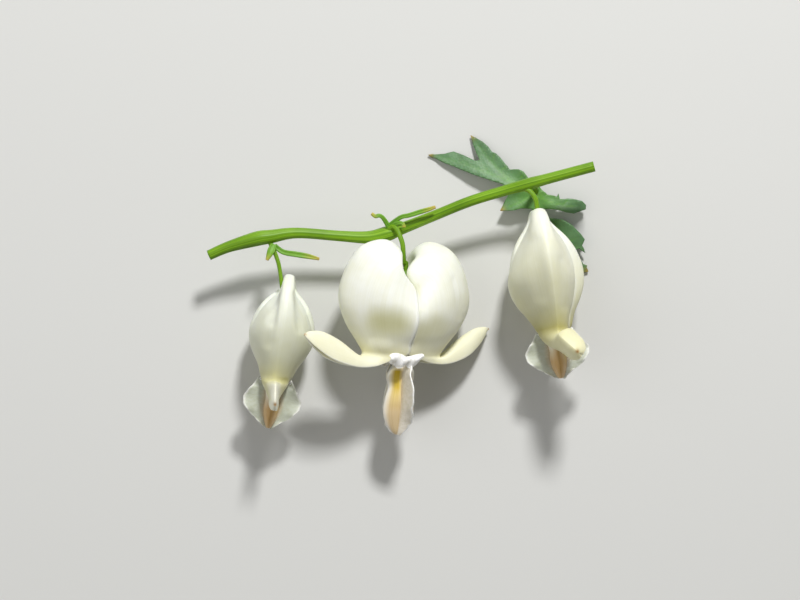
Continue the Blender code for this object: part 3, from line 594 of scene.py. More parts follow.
def longer(level, lengthening):
    """A level in a flower whose heart is longer, while its tip stays."""
    if level > NECK_LEVEL:
        return level * (1 + (lengthening - 1) * (level / NECK_LEVEL) ** 2)
    neck = NECK_LEVEL * lengthening
    return neck + (level - NECK_LEVEL) * (TIP_LEVEL - neck) / (TIP_LEVEL - NECK_LEVEL)


def flower_frame(flower):
    """From a flower's own millimetres to the surface's metres."""
    spot = Matrix.Translation((Vector(flower["top"]) + SHIFT) * MM)
    leaning = Matrix.Rotation(math.radians(flower["lean"]), 4, "Z")
    turned = Matrix.Rotation(math.radians(flower["turn"]), 4, "Y")
    size = flower["size"] * MM
    return spot @ leaning @ turned @ Matrix.Diagonal((size * flower["narrowing"], size, size, 1.0))


STEM_FRAME = Matrix.Scale(MM, 4) @ Matrix.Translation(SHIFT)


def heading(route, place, step):
    """The direction of a route at a place."""
    further = Vector(on_curve(route, place + step)[:3])
    nearer = Vector(on_curve(route, place - step)[:3])
    return (further - nearer).normalized()


def lay_sheet(name, columns, rows, spot, frame, shade):
    """A flat sheet with its pattern map, laid where spot(u, v) says: u runs across and v along it."""
    bpy.ops.object.select_all(action="DESELECT")
    bpy.ops.mesh.primitive_grid_add(x_subdivisions=columns, y_subdivisions=rows, size=1)
    sheet = bpy.context.object
    sheet.name = name
    for vertex in sheet.data.vertices:
        vertex.co = frame @ Vector(spot(vertex.co.x + 0.5, vertex.co.y + 0.5))
    sheet.data.update()
    sheet.data.materials.append(shade)
    return sheet


# A route that climbs more than this is laid from the side
STEEP = 0.8


def lay_tube(name, sides, rows, route, frame, shade, ribs=0.0, rib_count=6):
    """A closed cylinder, cut into rings that are laid along the route with its radii."""
    bpy.ops.object.select_all(action="DESELECT")
    bpy.ops.mesh.primitive_cylinder_add(vertices=sides, radius=1, depth=1)
    tube = bpy.context.object
    tube.name = name
    tube.data.materials.append(shade)
    bpy.ops.object.mode_set(mode="EDIT")
    bm = bmesh.from_edit_mesh(tube.data)
    for edge in bm.edges:
        edge.select_set(abs(edge.verts[0].co.z - edge.verts[1].co.z) > 0.5)
    bmesh.update_edit_mesh(tube.data)
    bpy.ops.mesh.subdivide(number_cuts=rows)
    bpy.ops.object.mode_set(mode="OBJECT")
    step = 0.5 / rows
    for vertex in tube.data.vertices:
        place = vertex.co.z + 0.5
        x, y, z, radius = on_curve(route, place)
        ahead = heading(route, place, step)
        reference = Vector((0, 0, 1)) if abs(ahead.z) < STEEP else Vector((1, 0, 0))
        side = reference.cross(ahead).normalized()
        over = ahead.cross(side)
        angle = math.atan2(vertex.co.y, vertex.co.x)
        swell = radius * (1 + ribs * math.cos(rib_count * angle)) * math.hypot(vertex.co.x, vertex.co.y)
        round_part = side * (swell * math.cos(angle)) + over * (swell * math.sin(angle))
        vertex.co = frame @ (Vector((x, y, z)) + round_part)
    tube.data.update()
    return tube


def finish_piece(piece, thickness=0.0, levels=0):
    """Thickens a sheet inwards and subdivides it where asked, and shades it smooth."""
    bpy.ops.object.select_all(action="DESELECT")
    bpy.context.view_layer.objects.active = piece
    piece.select_set(True)
    if thickness:
        wall = piece.modifiers.new("Wall", "SOLIDIFY")
        wall.thickness = thickness * MM
        wall.offset = -1
        wall.use_quality_normals = True
        bpy.ops.object.modifier_apply(modifier=wall.name)
    if levels:
        soft = piece.modifiers.new("Soft", "SUBSURF")
        soft.levels = levels
        soft.render_levels = levels
        bpy.ops.object.modifier_apply(modifier=soft.name)
    bpy.ops.object.shade_smooth()
    return piece


def join(name, pieces):
    """Several pieces made one."""
    bpy.ops.object.select_all(action="DESELECT")
    for piece in pieces:
        piece.select_set(True)
    bpy.context.view_layer.objects.active = pieces[0]
    bpy.ops.object.join()
    pieces[0].name = name
    return pieces[0]


def settle(piece):
    """Keeps a piece out of the surface that the stem lies on."""
    for vertex in piece.data.vertices:
        vertex.co.z = max(vertex.co.z, SURFACE_CLEARANCE * MM)
    piece.data.update()


def dress(piece, slot, *nodes):
    """The piece takes its part's place, kept out of the surface; the slot is not used."""
    settle(piece)
    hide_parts(*nodes)
    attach(piece, "root")


# Finishes

def linear(red, green, blue):
    """A colour from its numbers on screen, 0 to 255."""
    parts = [part / 255 for part in (red, green, blue)]
    return (*[p / 12.92 if p <= 0.04045 else ((p + 0.055) / 1.055) ** 2.4 for p in parts], 1.0)


WHITE = linear(255, 255, 255)

# Depth of the fine relief in a finish, in metres
RELIEF_DEPTH = 0.0001


def new_finish(name, roughness, **sockets):
    """A material with its shader, whose other inputs are set by name."""
    shade = bpy.data.materials.new(name)
    shade.use_nodes = True
    shader = shade.node_tree.nodes["Principled BSDF"]
    shader.inputs["Roughness"].default_value = roughness
    for socket, value in sockets.items():
        shader.inputs[socket.replace("_", " ")].default_value = value
    return shade, shade.node_tree, shader


def add(tree, kind, inputs, **settings):
    """A node with its inputs set, or linked where one is another node's output."""
    made = tree.nodes.new("ShaderNode" + kind)
    for setting, value in settings.items():
        setattr(made, setting, value)
    for socket, value in inputs.items():
        if isinstance(value, bpy.types.NodeSocket):
            tree.links.new(value, made.inputs[socket])
        else:
            made.inputs[socket].default_value = value
    return made


def ramp(tree, value, stops):
    """Colours or greys along a value."""
    made = tree.nodes.new("ShaderNodeValToRGB")
    tree.links.new(value, made.inputs[0])
    points = made.color_ramp.elements
    while len(points) < len(stops):
        points.new(0.5)
    for point, (place, colour) in zip(points, stops):
        point.position = place
        point.color = colour if isinstance(colour, tuple) else (colour, colour, colour, 1.0)
    return made.outputs["Color"]


def blend(tree, factor, first, second, way="MIX"):
    """Two colours mixed by a factor, or the first multiplied by the second."""
    made = tree.nodes.new("ShaderNodeMix")
    made.data_type = "RGBA"
    made.blend_type = way
    for place, value in ((0, factor), (6, first), (7, second)):
        if isinstance(value, bpy.types.NodeSocket):
            tree.links.new(value, made.inputs[place])
        else:
            made.inputs[place].default_value = value
    return made.outputs[2]


def paint(tree, shader, colour):
    """Gives the shader its colour."""
    tree.links.new(colour, shader.inputs["Base Color"])


def emboss(tree, shader, heights, strength, depth=RELIEF_DEPTH):
    """Fine relief, raised by the heights."""
    bump = add(tree, "Bump", {"Strength": strength, "Distance": depth, "Height": heights})
    tree.links.new(bump.outputs[0], shader.inputs["Normal"])


def own_map(tree):
    """How far across and along the piece a point lies, each from 0 to 1."""
    map_uv = add(tree, "UVMap", {})
    parts = add(tree, "SeparateXYZ", {0: map_uv.outputs[0]})
    return parts.outputs[0], parts.outputs[1]


def streaks(tree, across, along, seed=0.0):
    """Long fine lines that follow the piece's own map."""
    uv = add(tree, "UVMap", {})
    stretched = add(tree, "Mapping", {
        "Vector": uv.outputs[0], "Scale": (across, along, 1.0), "Location": (seed, seed, 0.0)})
    lines = add(tree, "TexNoise", {
        "Vector": stretched.outputs[0], "Scale": 1.0, "Detail": 2.0, "Roughness": 0.6, "Distortion": 0.35})
    return lines.outputs[0]


def mottling(tree, scale):
    """Soft blotches that follow the piece's place."""
    place = add(tree, "TexCoord", {})
    cloud = add(tree, "TexNoise", {"Vector": place.outputs["Object"], "Scale": scale, "Detail": 3.0})
    return cloud.outputs[0]


def petal_finish(name, crown, belly, neck, blade):
    """White petal: fine veins from root to tip, a greenish root, a khaki neck that is partly its own tint
    and partly painted shade, painted shadows, and a brown speck.
    """
    shade, tree, shader = new_finish(
        name, 0.46, Subsurface_Weight=0.35, Subsurface_Scale=0.0012, Subsurface_Radius=(1.0, 0.97, 0.7),
        Specular_IOR_Level=0.35)
    across, up = own_map(tree)
    # Darker and more khaki towards the neck: partly the petal's own tint, partly painted shade
    along = ramp(tree, up, [
        (0.0, linear(228, 232, 200)),
        (NECK_PLACE * 0.25, crown),
        (NECK_PLACE * 0.60, belly),
        (NECK_PLACE * 0.84, tuple((2 * a + b) / 3 for a, b in zip(belly, neck))),
        (NECK_PLACE * 0.99, neck),
        (NECK_PLACE * 1.16, blade),
        (1.0, blade),
    ])
    fine = streaks(tree, 120.0, 1.2)
    broad = streaks(tree, 34.0, 0.8, seed=3.0)
    lines = ramp(tree, fine, [(0.34, 0.0), (0.62, 1.0)])
    veined = blend(tree, lines, linear(248, 247, 238), WHITE)
    tinted = blend(tree, 0.45, along, blend(tree, 1.0, along, veined, "MULTIPLY"))
    blotches = ramp(tree, mottling(tree, 260.0), [(0.35, linear(246, 245, 234)), (0.65, WHITE)])
    mottled = blend(tree, 0.6, tinted, blend(tree, 1.0, tinted, blotches, "MULTIPLY"))
    # Painted shadows: the petal darkened to khaki where its shadow attribute says
    shadow = add(tree, "Attribute", {}, attribute_name="shadow")
    khaki = blend(tree, 1.0, mottled, linear(226, 224, 196), "MULTIPLY")
    patched = blend(tree, shadow.outputs["Fac"], mottled, khaki)
    margin = ramp(tree, across, [(0.0, 0.6), (0.025, 0.0), (0.975, 0.0), (1.0, 0.6)])
    edged = blend(tree, margin, patched, linear(252, 253, 248))
    speck = add(tree, "Attribute", {}, attribute_name="speck")
    paint(tree, shader, blend(tree, speck.outputs["Fac"], edged, linear(158, 112, 50)))
    heights = add(tree, "Math", {0: fine, 1: broad}, operation="ADD")
    emboss(tree, shader, heights.outputs[0], 0.1)
    gloss = ramp(tree, fine, [(0.3, 0.42), (0.7, 0.56)])
    tree.links.new(gloss, shader.inputs["Roughness"])
    return shade


def inner_finish(name, rim_colour, spoon_colour):
    """Inner petal: white above, a yellow patch beside its keel at the mouth, and a rimmed tan spoon."""
    shade, tree, shader = new_finish(
        name, 0.42, Subsurface_Weight=0.15, Subsurface_Scale=0.0006, Subsurface_Radius=(1.0, 0.85, 0.6))
    across, up = own_map(tree)
    along = ramp(tree, up, [
        (0.0, linear(240, 238, 215)), (0.42, linear(248, 245, 234)), (0.56, linear(240, 230, 206)),
        (0.70, spoon_colour), (0.93, spoon_colour), (1.0, linear(226, 206, 172))])
    beside = ramp(tree, across, [(0.46, 0.0), (0.60, 1.0), (0.70, 1.0), (0.88, 0.0)])
    mouth = ramp(tree, up, [(0.38, 0.0), (0.42, 1.0), (0.58, 0.9), (0.74, 0.0)])
    patch = add(tree, "Math", {0: beside, 1: mouth}, operation="MULTIPLY")
    lit = blend(tree, patch.outputs[0], along, linear(206, 176, 24))
    rim = ramp(tree, across, [(0.0, 1.0), (0.09, 0.7), (0.24, 0.0), (0.76, 0.0), (0.91, 0.7), (1.0, 1.0)])
    low = ramp(tree, up, [(0.40, 0.0), (0.55, 1.0)])
    edge = add(tree, "Math", {0: rim, 1: low}, operation="MULTIPLY")
    body = blend(tree, edge.outputs[0], lit, rim_colour)
    lines = ramp(tree, streaks(tree, 40.0, 1.2), [(0.36, linear(240, 234, 222)), (0.6, WHITE)])
    paint(tree, shader, blend(tree, 0.6, body, lines, "MULTIPLY"))
    emboss(tree, shader, streaks(tree, 30.0, 1.4), 0.2)
    return shade


def wing_finish(name, alpha, root_colour, skin_colour):
    """Thin frosted skin with faint veins and a whiter edge."""
    shade, tree, shader = new_finish(
        name, 0.42, Alpha=alpha, Subsurface_Weight=0.15, Subsurface_Scale=0.0005,
        Subsurface_Radius=(1.0, 0.97, 0.85))
    skin = ramp(tree, own_map(tree)[0], [
        (0.0, root_colour), (0.3, skin_colour), (0.85, skin_colour), (1.0, linear(254, 254, 252))])
    veins = streaks(tree, 5.0, 26.0)
    lines = ramp(tree, veins, [(0.35, linear(238, 238, 226)), (0.6, WHITE)])
    paint(tree, shader, blend(tree, 0.7, skin, lines, "MULTIPLY"))
    emboss(tree, shader, veins, 0.3)
    return shade


def ear_finish():
    """White frill with faint lengthwise veins."""
    shade, tree, shader = new_finish(
        "ear white", 0.42, Subsurface_Weight=0.2, Subsurface_Scale=0.0006,
        Subsurface_Radius=(1.0, 0.98, 0.95))
    veins = streaks(tree, 34.0, 3.0)
    paint(tree, shader, ramp(tree, veins, [(0.35, linear(236, 234, 226)), (0.65, WHITE)]))
    emboss(tree, shader, veins, 0.35)
    return shade


def stem_finish():
    """Fresh green stem: fine lengthwise lines, with paler ribs and darker furrows whose greens are partly
    its own colour and partly painted light and shade.
    """
    shade, tree, shader = new_finish(
        "stem green", 0.46, Subsurface_Weight=0.08, Subsurface_Scale=0.0006,
        Subsurface_Radius=(0.4, 1.0, 0.2), Specular_IOR_Level=0.35)
    furrows = streaks(tree, 44.0, 3.0)
    # Darker where the relief is low and paler where it is high: painted shade and light in the furrows and
    # on the ribs, over the stem's own lines
    lines = ramp(tree, furrows, [
        (0.28, linear(84, 128, 6)), (0.5, linear(116, 160, 14)), (0.75, linear(150, 190, 44))])
    clouds = ramp(tree, mottling(tree, 160.0), [(0.3, linear(196, 206, 150)), (0.7, WHITE)])
    paint(tree, shader, blend(tree, 0.8, lines, clouds, "MULTIPLY"))
    emboss(tree, shader, furrows, 0.25)
    return shade


def pith_finish():
    """Cut end of the stem: pale, moist pith with a green ring."""
    shade, tree, shader = new_finish("cut pith", 0.3)
    spots = ramp(tree, mottling(tree, 5000.0), [(0.4, linear(150, 186, 84)), (0.6, linear(206, 222, 160))])
    paint(tree, shader, spots)
    return shade


def bract_finish():
    """Small bract: green at its foot, yellowing to a dry straw-coloured point."""
    shade, tree, shader = new_finish("bract green", 0.5)
    along = ramp(tree, own_map(tree)[1], [
        (0.0, linear(110, 165, 40)), (0.6, linear(120, 170, 45)), (0.86, linear(176, 178, 66)),
        (1.0, linear(196, 164, 84))])
    veins = streaks(tree, 12.0, 1.5)
    lines = ramp(tree, veins, [(0.35, linear(190, 205, 140)), (0.65, WHITE)])
    paint(tree, shader, blend(tree, 0.8, along, lines, "MULTIPLY"))
    emboss(tree, shader, veins, 0.4)
    return shade


def leaf_finish():
    """Waxy blue-green leaf with bright green ribs and straw-coloured points."""
    shade, tree, shader = new_finish("leaf green", 0.5, Subsurface_Weight=0.06, Subsurface_Scale=0.0005)
    rib = add(tree, "Attribute", {}, attribute_name="rib")
    tip = add(tree, "Attribute", {}, attribute_name="tip")
    clouds = ramp(tree, mottling(tree, 420.0), [
        (0.3, linear(76, 112, 70)), (0.5, linear(86, 124, 80)), (0.7, linear(97, 135, 90))])
    ribbed = blend(tree, rib.outputs["Fac"], clouds, linear(94, 148, 44))
    paint(tree, shader, blend(tree, tip.outputs["Fac"], ribbed, linear(156, 132, 60)))
    place = add(tree, "TexCoord", {})
    cells = add(tree, "TexVoronoi", {"Vector": place.outputs["Object"], "Scale": 2600.0})
    emboss(tree, shader, cells.outputs[0], 0.3, 0.8 * RELIEF_DEPTH)
    return shade


def stamen_finish():
    """Cream threads and anthers with soft yellow blotches."""
    shade, tree, shader = new_finish("stamen cream", 0.55)
    tint = ramp(tree, mottling(tree, 900.0), [(0.35, linear(222, 206, 140)), (0.65, linear(242, 234, 190))])
    paint(tree, shader, tint)
    return shade


# The khaki necks are partly the petals' own tint and partly painted shade, deepest on the right flower
OPEN_PETAL = petal_finish(
    "petal white", crown=linear(246, 248, 238), belly=linear(243, 244, 230), neck=linear(230, 227, 194),
    blade=linear(238, 236, 210))
# The left flower's petals are greyer green all over: partly a younger flower's own tint, partly painted
# shade
LEFT_PETAL = petal_finish(
    "petal white, pale neck", crown=linear(236, 241, 230), belly=linear(230, 233, 216),
    neck=linear(208, 205, 160), blade=linear(240, 238, 216))
RIGHT_PETAL = petal_finish(
    "petal white, khaki neck", crown=linear(244, 246, 234), belly=linear(236, 236, 212),
    neck=linear(184, 178, 116), blade=linear(232, 228, 190))
OPEN_INNER = inner_finish("inner petal tan", linear(252, 250, 244), linear(206, 184, 144))
YOUNG_INNER = inner_finish("inner petal amber", linear(204, 162, 92), linear(212, 178, 126))
WING_SKIN = wing_finish("wing skin", 0.62, linear(208, 182, 138), linear(202, 207, 190))
OPEN_WING = wing_finish("wing skin, rosy", 0.95, linear(222, 200, 166), linear(238, 230, 216))
EAR_WHITE = ear_finish()
STEM_GREEN = stem_finish()
CUT_PITH = pith_finish()
BRACT_GREEN = bract_finish()
LEAF_GREEN = leaf_finish()
STAMEN_CREAM = stamen_finish()


# Flowers

def section(row, u, limit, ridge, pinch=0.0):
    """A point on a hollow petal's section, from the back margin round the keel to the front margin."""
    margin_x, margin_y, keel_x, keel_y, half_width = row
    angle = math.radians(limit) * (2 * u - 1)
    edge = math.cos(math.radians(limit))
    outward = (math.cos(angle) - edge) / (1 - edge)
    spread = abs(math.sin(angle)) ** ridge
    spread *= 1 - pinch * PINCH_PEAK * spread ** 2 * (1 - spread)
    across = math.copysign(spread, angle) * half_width
    return (margin_x + (keel_x - margin_x) * outward, margin_y + (keel_y - margin_y) * outward, across)


def patches(point, lines):
    """How strong dents or painted shadows are at a point: full on their lines, and 0 at their half widths.
    """
    strength = 0.0
    for x, y, end_x, end_y, half_width, full in lines:
        distance, share = nearest_on_line(point, Vector((x, y)), Vector((end_x, end_y)))
        strength += full * hump(distance, 0.0, half_width)
    return strength


def along_pouch(v, place, reach):
    """A hump along a petal, its place and reach as shares of the way from root to neck."""
    return hump(v, NECK_PLACE * place, NECK_PLACE * reach)


def petal_rows(flower, petal):
    """The rows of one outer petal, root to tip, with the flower's and the petal's own measures in them."""
    crook = POUCH[-1][2]
    rows = []
    for number, (mx, my, kx, ky, width) in enumerate(POUCH):
        crown = petal["crown_breadth"] if number in (1, 2) else 1.0
        rows.append((mx, my, kx, ky, width * petal["pouch_breadth"] * crown))
    rows[-2] = (petal["closing"], *rows[-2][1:])
    rows[-1] = (petal["parting"], *rows[-1][1:])
    for number, (mx, my, kx, ky, width) in enumerate(petal["blade"]):
        breadth = 1 + (petal["tip_breadth"] - 1) * min(number / 2, 1)
        stretch = [crook + (x - crook) * petal["reach"] if x > crook else x for x in (mx, kx)]
        rows.append((stretch[0], my, stretch[1], ky, width * breadth))
    return [
        (mx, longer(my, flower["lengthening"]), kx, longer(ky, flower["lengthening"]), width)
        for mx, my, kx, ky, width in rows]


def outer_petal(name, flower, side, shade):
    """One pouched petal with its folded-back tip; side is +1 or -1 along the flower's x."""
    petal = flower["petals"][0 if side > 0 else 1]
    rows = petal_rows(flower, petal)
    neck_level = longer(NECK_LEVEL, flower["lengthening"])

    def spot(u, v):
        at_crown = along_pouch(v, *CROWN_HUMP)
        ridge = 1 + (flower["ridge"] - 1) * (1 - at_crown)
        x, y, z = section(on_curve(rows, v), u, petal["curl"], ridge, flower["pinch"] * at_crown)
        progress = max(0.0, (v - NECK_PLACE) / (1 - NECK_PLACE))
        on_pouch = hump(v, NECK_PLACE / 2 + RIM_OFFSET, NECK_PLACE / 2) ** 0.5
        rim = max(0.0, (abs(2 * u - 1) - RIM_START) / (1 - RIM_START))
        front = min(max((side * z - NOTCH_START) / NOTCH_DEPTH, 0.0), 1.0)
        x -= side * petal["notch"] * front * hump(math.hypot(x, y - petal["notch_level"]), 0.0, NOTCH_REACH)
        x -= petal["lap"] * rim * on_pouch
        turned_in = petal["turned_in"][1 if u > 0.5 else 0]
        z += math.copysign(LIP * rim * rim * on_pouch, z)
        z -= math.copysign(turned_in * rim ** 1.5 * on_pouch, z)
        if petal["round_end"]:
            rounded = max(0.0, (progress - ROUND_START) / (1 - ROUND_START)) ** ROUND_POWER
            z *= max(1 - rounded, 0.0) ** 0.5 + ROUND_LEAST
        z += side * petal["drift"] * along_pouch(v, *DRIFT_HUMP)
        z += side * petal["ridge_drift"] * (1 - (2 * u - 1) ** 2) ** 2 * along_pouch(v, *RIDGE_DRIFT_HUMP)
        share = min(progress / TURN_LENGTH, 1.0)
        angle = side * math.radians(petal["turned_out"]) * share * share * (3 - 2 * share)
        fall = y - neck_level
        y = neck_level + fall * math.cos(angle) + z * math.sin(angle)
        z = z * math.cos(angle) - fall * math.sin(angle)
        return (x, y + petal["rise"] * progress, z + side * petal["swing"] * progress ** SWING_POWER)

    petal_frame = flower_frame(flower) @ Matrix.Rotation(0.0 if side > 0 else math.pi, 4, "Y")
    columns = petal["columns"]
    sheet = lay_sheet(name, columns, petal["rows"], spot, petal_frame, shade)
    speck = sheet.data.attributes.new("speck", "FLOAT", "POINT")
    shadow = sheet.data.attributes.new("shadow", "FLOAT", "POINT")
    speck_place = petal_frame @ Vector(spot(0.5, petal["speck"]))
    relief = []
    for number, vertex in enumerate(sheet.data.vertices):
        v = (number // (columns + 1)) / petal["rows"]
        flat = vertex.co.to_2d() / MM - SHIFT.to_2d()
        depth = patches(flat, petal["dents"]) if vertex.normal.z > 0 else 0.0
        soft = SOFT_RELIEF * noise.noise(vertex.co * SOFT_RELIEF_SCALE) * hump(v, *SOFT_RELIEF_HUMP)
        relief.append(vertex.co + vertex.normal * (soft - depth) * MM)
        shadow.data[number].value = patches(flat, petal["shadows"])
        speck.data[number].value = math.exp(-((vertex.co - speck_place).length / (SPECK_SIZE * MM)) ** 2)
    for vertex, place in zip(sheet.data.vertices, relief):
        vertex.co = place
    finish_piece(sheet, PETAL_THICKNESS, 1)
    dress(sheet, "outer_petals", name)


def inner_body(name, flower, side, shade):
    """One inner petal: a slim channel that widens to a spoon, without its wing."""
    rows = []
    for level, margin, keel, half_width in INNER:
        here = longer(level, flower["lengthening"])
        rows.append((margin, here, keel, here, half_width * flower["inner_breadth"]))

    def spot(u, v):
        return section(on_curve(rows, v), u, 90.0, 1.0)

    turn = flower_frame(flower) @ Matrix.Rotation(math.radians(-90 * side), 4, "Y")
    body = lay_sheet(name, *INNER_CELLS, spot, turn, shade)
    return finish_piece(body, PETAL_THICKNESS, 1)


def wing(name, flower, side, skin):
    """The thin waved wing on the back of one inner petal, its edge finely ruffled."""
    leaning = flower["wing_lean"]

    def spot(u, v):
        level, root, edge, lean = on_curve(WING, v)
        wave = (WING_WAVE - WING_WAVE_LOSS * leaning) * u ** 2 * math.sin(WING_WAVE_PACE * v)
        wave += side * leaning * lean * u ** WING_LEAN_POWER
        ruffle = RUFFLE * u ** 4 * math.sin(RUFFLE_PACE * v + 2 * math.sin(RUFFLE_SWAY * v))
        nibble = NIBBLE * math.sin(NIBBLE_PACES[0] * v) * math.sin(NIBBLE_PACES[1] * v)
        out = root + (edge - root) * u * (1 + nibble * u * hump(v, 0.5, 0.5))
        return (wave + ruffle, longer(level, flower["lengthening"]), side * out)

    sheet = lay_sheet(name, *WING_CELLS, spot, flower_frame(flower), skin)
    return finish_piece(sheet, WING_THICKNESS, 1)


def ear_relief(u, v):
    """How far a place of an ear stands out: frills, crumples, a rolled edge and the valley between flaps."""
    folds = 0.0
    for height, across, along, start, at_root in EAR_FOLDS:
        growth = at_root + (1 - at_root) * v
        folds += height * math.sin(2 * math.pi * (across * u + along * v) + start) * growth
    crumpled = Vector((EAR_CRUMPLE_SCALE[0] * u, EAR_CRUMPLE_SCALE[1] * v, EAR_CRUMPLE_SLICE))
    crumple = EAR_CRUMPLE * noise.noise(crumpled)
    roll = EAR_ROLL * math.sin(math.pi * min(v * EAR_ROLL_SPAN, 1.0)) - EAR_ROLL_FALL * v
    valley = EAR_VALLEY * hump(u, *EAR_VALLEY_HUMP) * v
    return folds + crumple + roll - valley


def ear(name, flower, side):
    """The frilled ears at the top of the wing, crumpled into a rounded and a pointed flap."""
    breadth = flower["ears"]

    def spot(u, v):
        across, top_level, low_level = on_curve(flower["ear"], u)
        top_level = longer(top_level, flower["lengthening"])
        low_level = top_level + (longer(low_level, flower["lengthening"]) - top_level) * breadth
        level = top_level + (low_level - top_level) * v + EAR_WAVE * math.sin(EAR_WAVE_PACE * u) * v
        out = flower["ear_distance"] + EAR_SPREAD * abs(across) + ear_relief(u, v) * breadth
        return (across * breadth + flower["ear_shift"], level, side * out)

    cells = EAR_CELLS if breadth == 1.0 else SMALL_EAR_CELLS
    sheet = lay_sheet(name, *cells, spot, flower_frame(flower), EAR_WHITE)
    return finish_piece(sheet, EAR_THICKNESS, 1)


def inner_petals(name, flower, shade, skin):
    """Two spoon-shaped petals grown together at their tips, each with its wing and ear."""
    parts = []
    for side in (1, -1):
        parts.append(inner_body(name, flower, side, shade))
        parts.append(wing(name + "_wing", flower, side, skin))
        parts.append(ear(name + "_ear", flower, side))
    dress(join(name, parts), "inner_petals", name)


def thread(name, flower, rows, angle, cells):
    """The pistil or one stamen, in the direction of the angle from the flower's axis."""
    route = [
        (out * math.cos(angle), longer(level, flower["lengthening"]), out * math.sin(angle), radius)
        for level, out, radius in rows]
    return lay_tube(name, *cells, route, flower_frame(flower), STAMEN_CREAM)


def stamens(name, flower):
    """Six stamens in a ring round the pistil, with their anthers, hidden in the inner petals."""
    parts = [thread(name, flower, PISTIL, 0.0, PISTIL_CELLS)]
    for number in range(STAMEN_COUNT):
        angle = math.radians(360 * (number + 0.5) / STAMEN_COUNT)
        parts.append(thread(name, flower, STAMEN, angle, STAMEN_CELLS))
    for part in parts:
        finish_piece(part)
    dress(join(name, parts), "stamens", name)


# Stem and bracts

def bract(name, route, slimness):
    """A thin pointed bract, a little channelled along its middle."""
    def spot(u, v):
        x, y, z, half_width = on_curve(route, v)
        ahead = heading(route, v, BRACT_STEP)
        across = ahead.cross(Vector((0, 0, 1))).normalized()
        over = across.cross(ahead)
        out = 2 * u - 1
        lift = BRACT_LIFT + BRACT_CHANNEL * half_width * out * out
        return Vector((x, y, z)) + across * (out * half_width * slimness) + over * lift

    sheet = lay_sheet(name, *BRACT_CELLS, spot, STEM_FRAME, BRACT_GREEN)
    return finish_piece(sheet, BRACT_THICKNESS, 1)


def receptacle(name, flower):
    """Small disc at the end of a flower's stalk, over the petals' roots."""
    route = [(0, longer(level, flower["lengthening"]), 0, radius) for level, radius in RECEPTACLE]
    return lay_tube(name, *RECEPTACLE_CELLS, route, flower_frame(flower), STEM_GREEN)


def stalk(name, route, flower):
    """A flower's stalk, led into the flower's axis and down to its receptacle."""
    full = list(route)
    for height in (STALK_ON_AXIS, STALK_END):
        level = longer(RECEPTACLE_TOP + height, flower["lengthening"])
        place = STEM_FRAME.inverted() @ (flower_frame(flower) @ Vector((0, level, 0)))
        full.append((*place, route[-1][3]))
    return lay_tube(name, *STALK_CELLS, full, STEM_FRAME, STEM_GREEN, STALK_RIBS)


def stem():
    """The main stem with its cut ends, the flowers' stalks and receptacles, and the bracts."""
    main = lay_tube("stem", *STEM_CELLS, STEM, STEM_FRAME, STEM_GREEN, STEM_RIBS, STEM_RIB_COUNT)
    main.data.materials.append(CUT_PITH)
    # Only the two cut ends have more than four corners
    for face in main.data.polygons:
        if len(face.vertices) > 4:
            face.material_index = 1
    parts = [main]
    for route, flower in zip((LEFT_STALK, MIDDLE_STALK, RIGHT_STALK), FLOWERS.values()):
        parts.append(stalk("stalk", route, flower))
        parts.append(receptacle("receptacle", flower))
    for route, slimness in BRACTS:
        parts.append(bract("bract", route, slimness))
    for part in parts:
        finish_piece(part)
    dress(join("stem", parts), "stem", "stem")


# Leaf

def leaf_height(x, y):
    """Height of the leaf's underside: arched down from its centre, low folds, and the sag under a flower."""
    distance = math.hypot(x - LEAF_CENTRE[0], y - LEAF_CENTRE[1])
    angle = math.atan2(y - LEAF_CENTRE[1], x - LEAF_CENTRE[0])
    arch = LEAF_ARCH_HEIGHT * max(0.0, 1 - (distance / LEAF_ARCH_REACH) ** LEAF_ARCH_POWER)
    fold = LEAF_FOLD_HEIGHT * (1 + math.sin(LEAF_FOLDS * angle)) * min(distance / LEAF_FOLD_REACH, 1)
    near = math.hypot(x - LEAF_SAG_CENTRE[0], y - LEAF_SAG_CENTRE[1]) / LEAF_SAG_REACH
    return arch - LEAF_DROP + fold - LEAF_SAG * math.exp(-near ** 2)


def rib_distance(point):
    """How far a point of the leaf lies from the nearest rib, measured in that rib's half width there."""
    nearest = math.inf
    for ribs, full_width in ((LEAF_RIBS, RIB_WIDTH), (LEAF_SIDE_RIBS, SIDE_RIB_WIDTH)):
        for line in ribs:
            for step, (start, end) in enumerate(zip(line, line[1:])):
                gap, share = nearest_on_line(point, Vector(start), Vector(end))
                width = full_width * (1 - RIB_TAPER * (step + share) / (len(line) - 1))
                nearest = min(nearest, gap / max(width, RIB_LEAST_WIDTH))
    return nearest


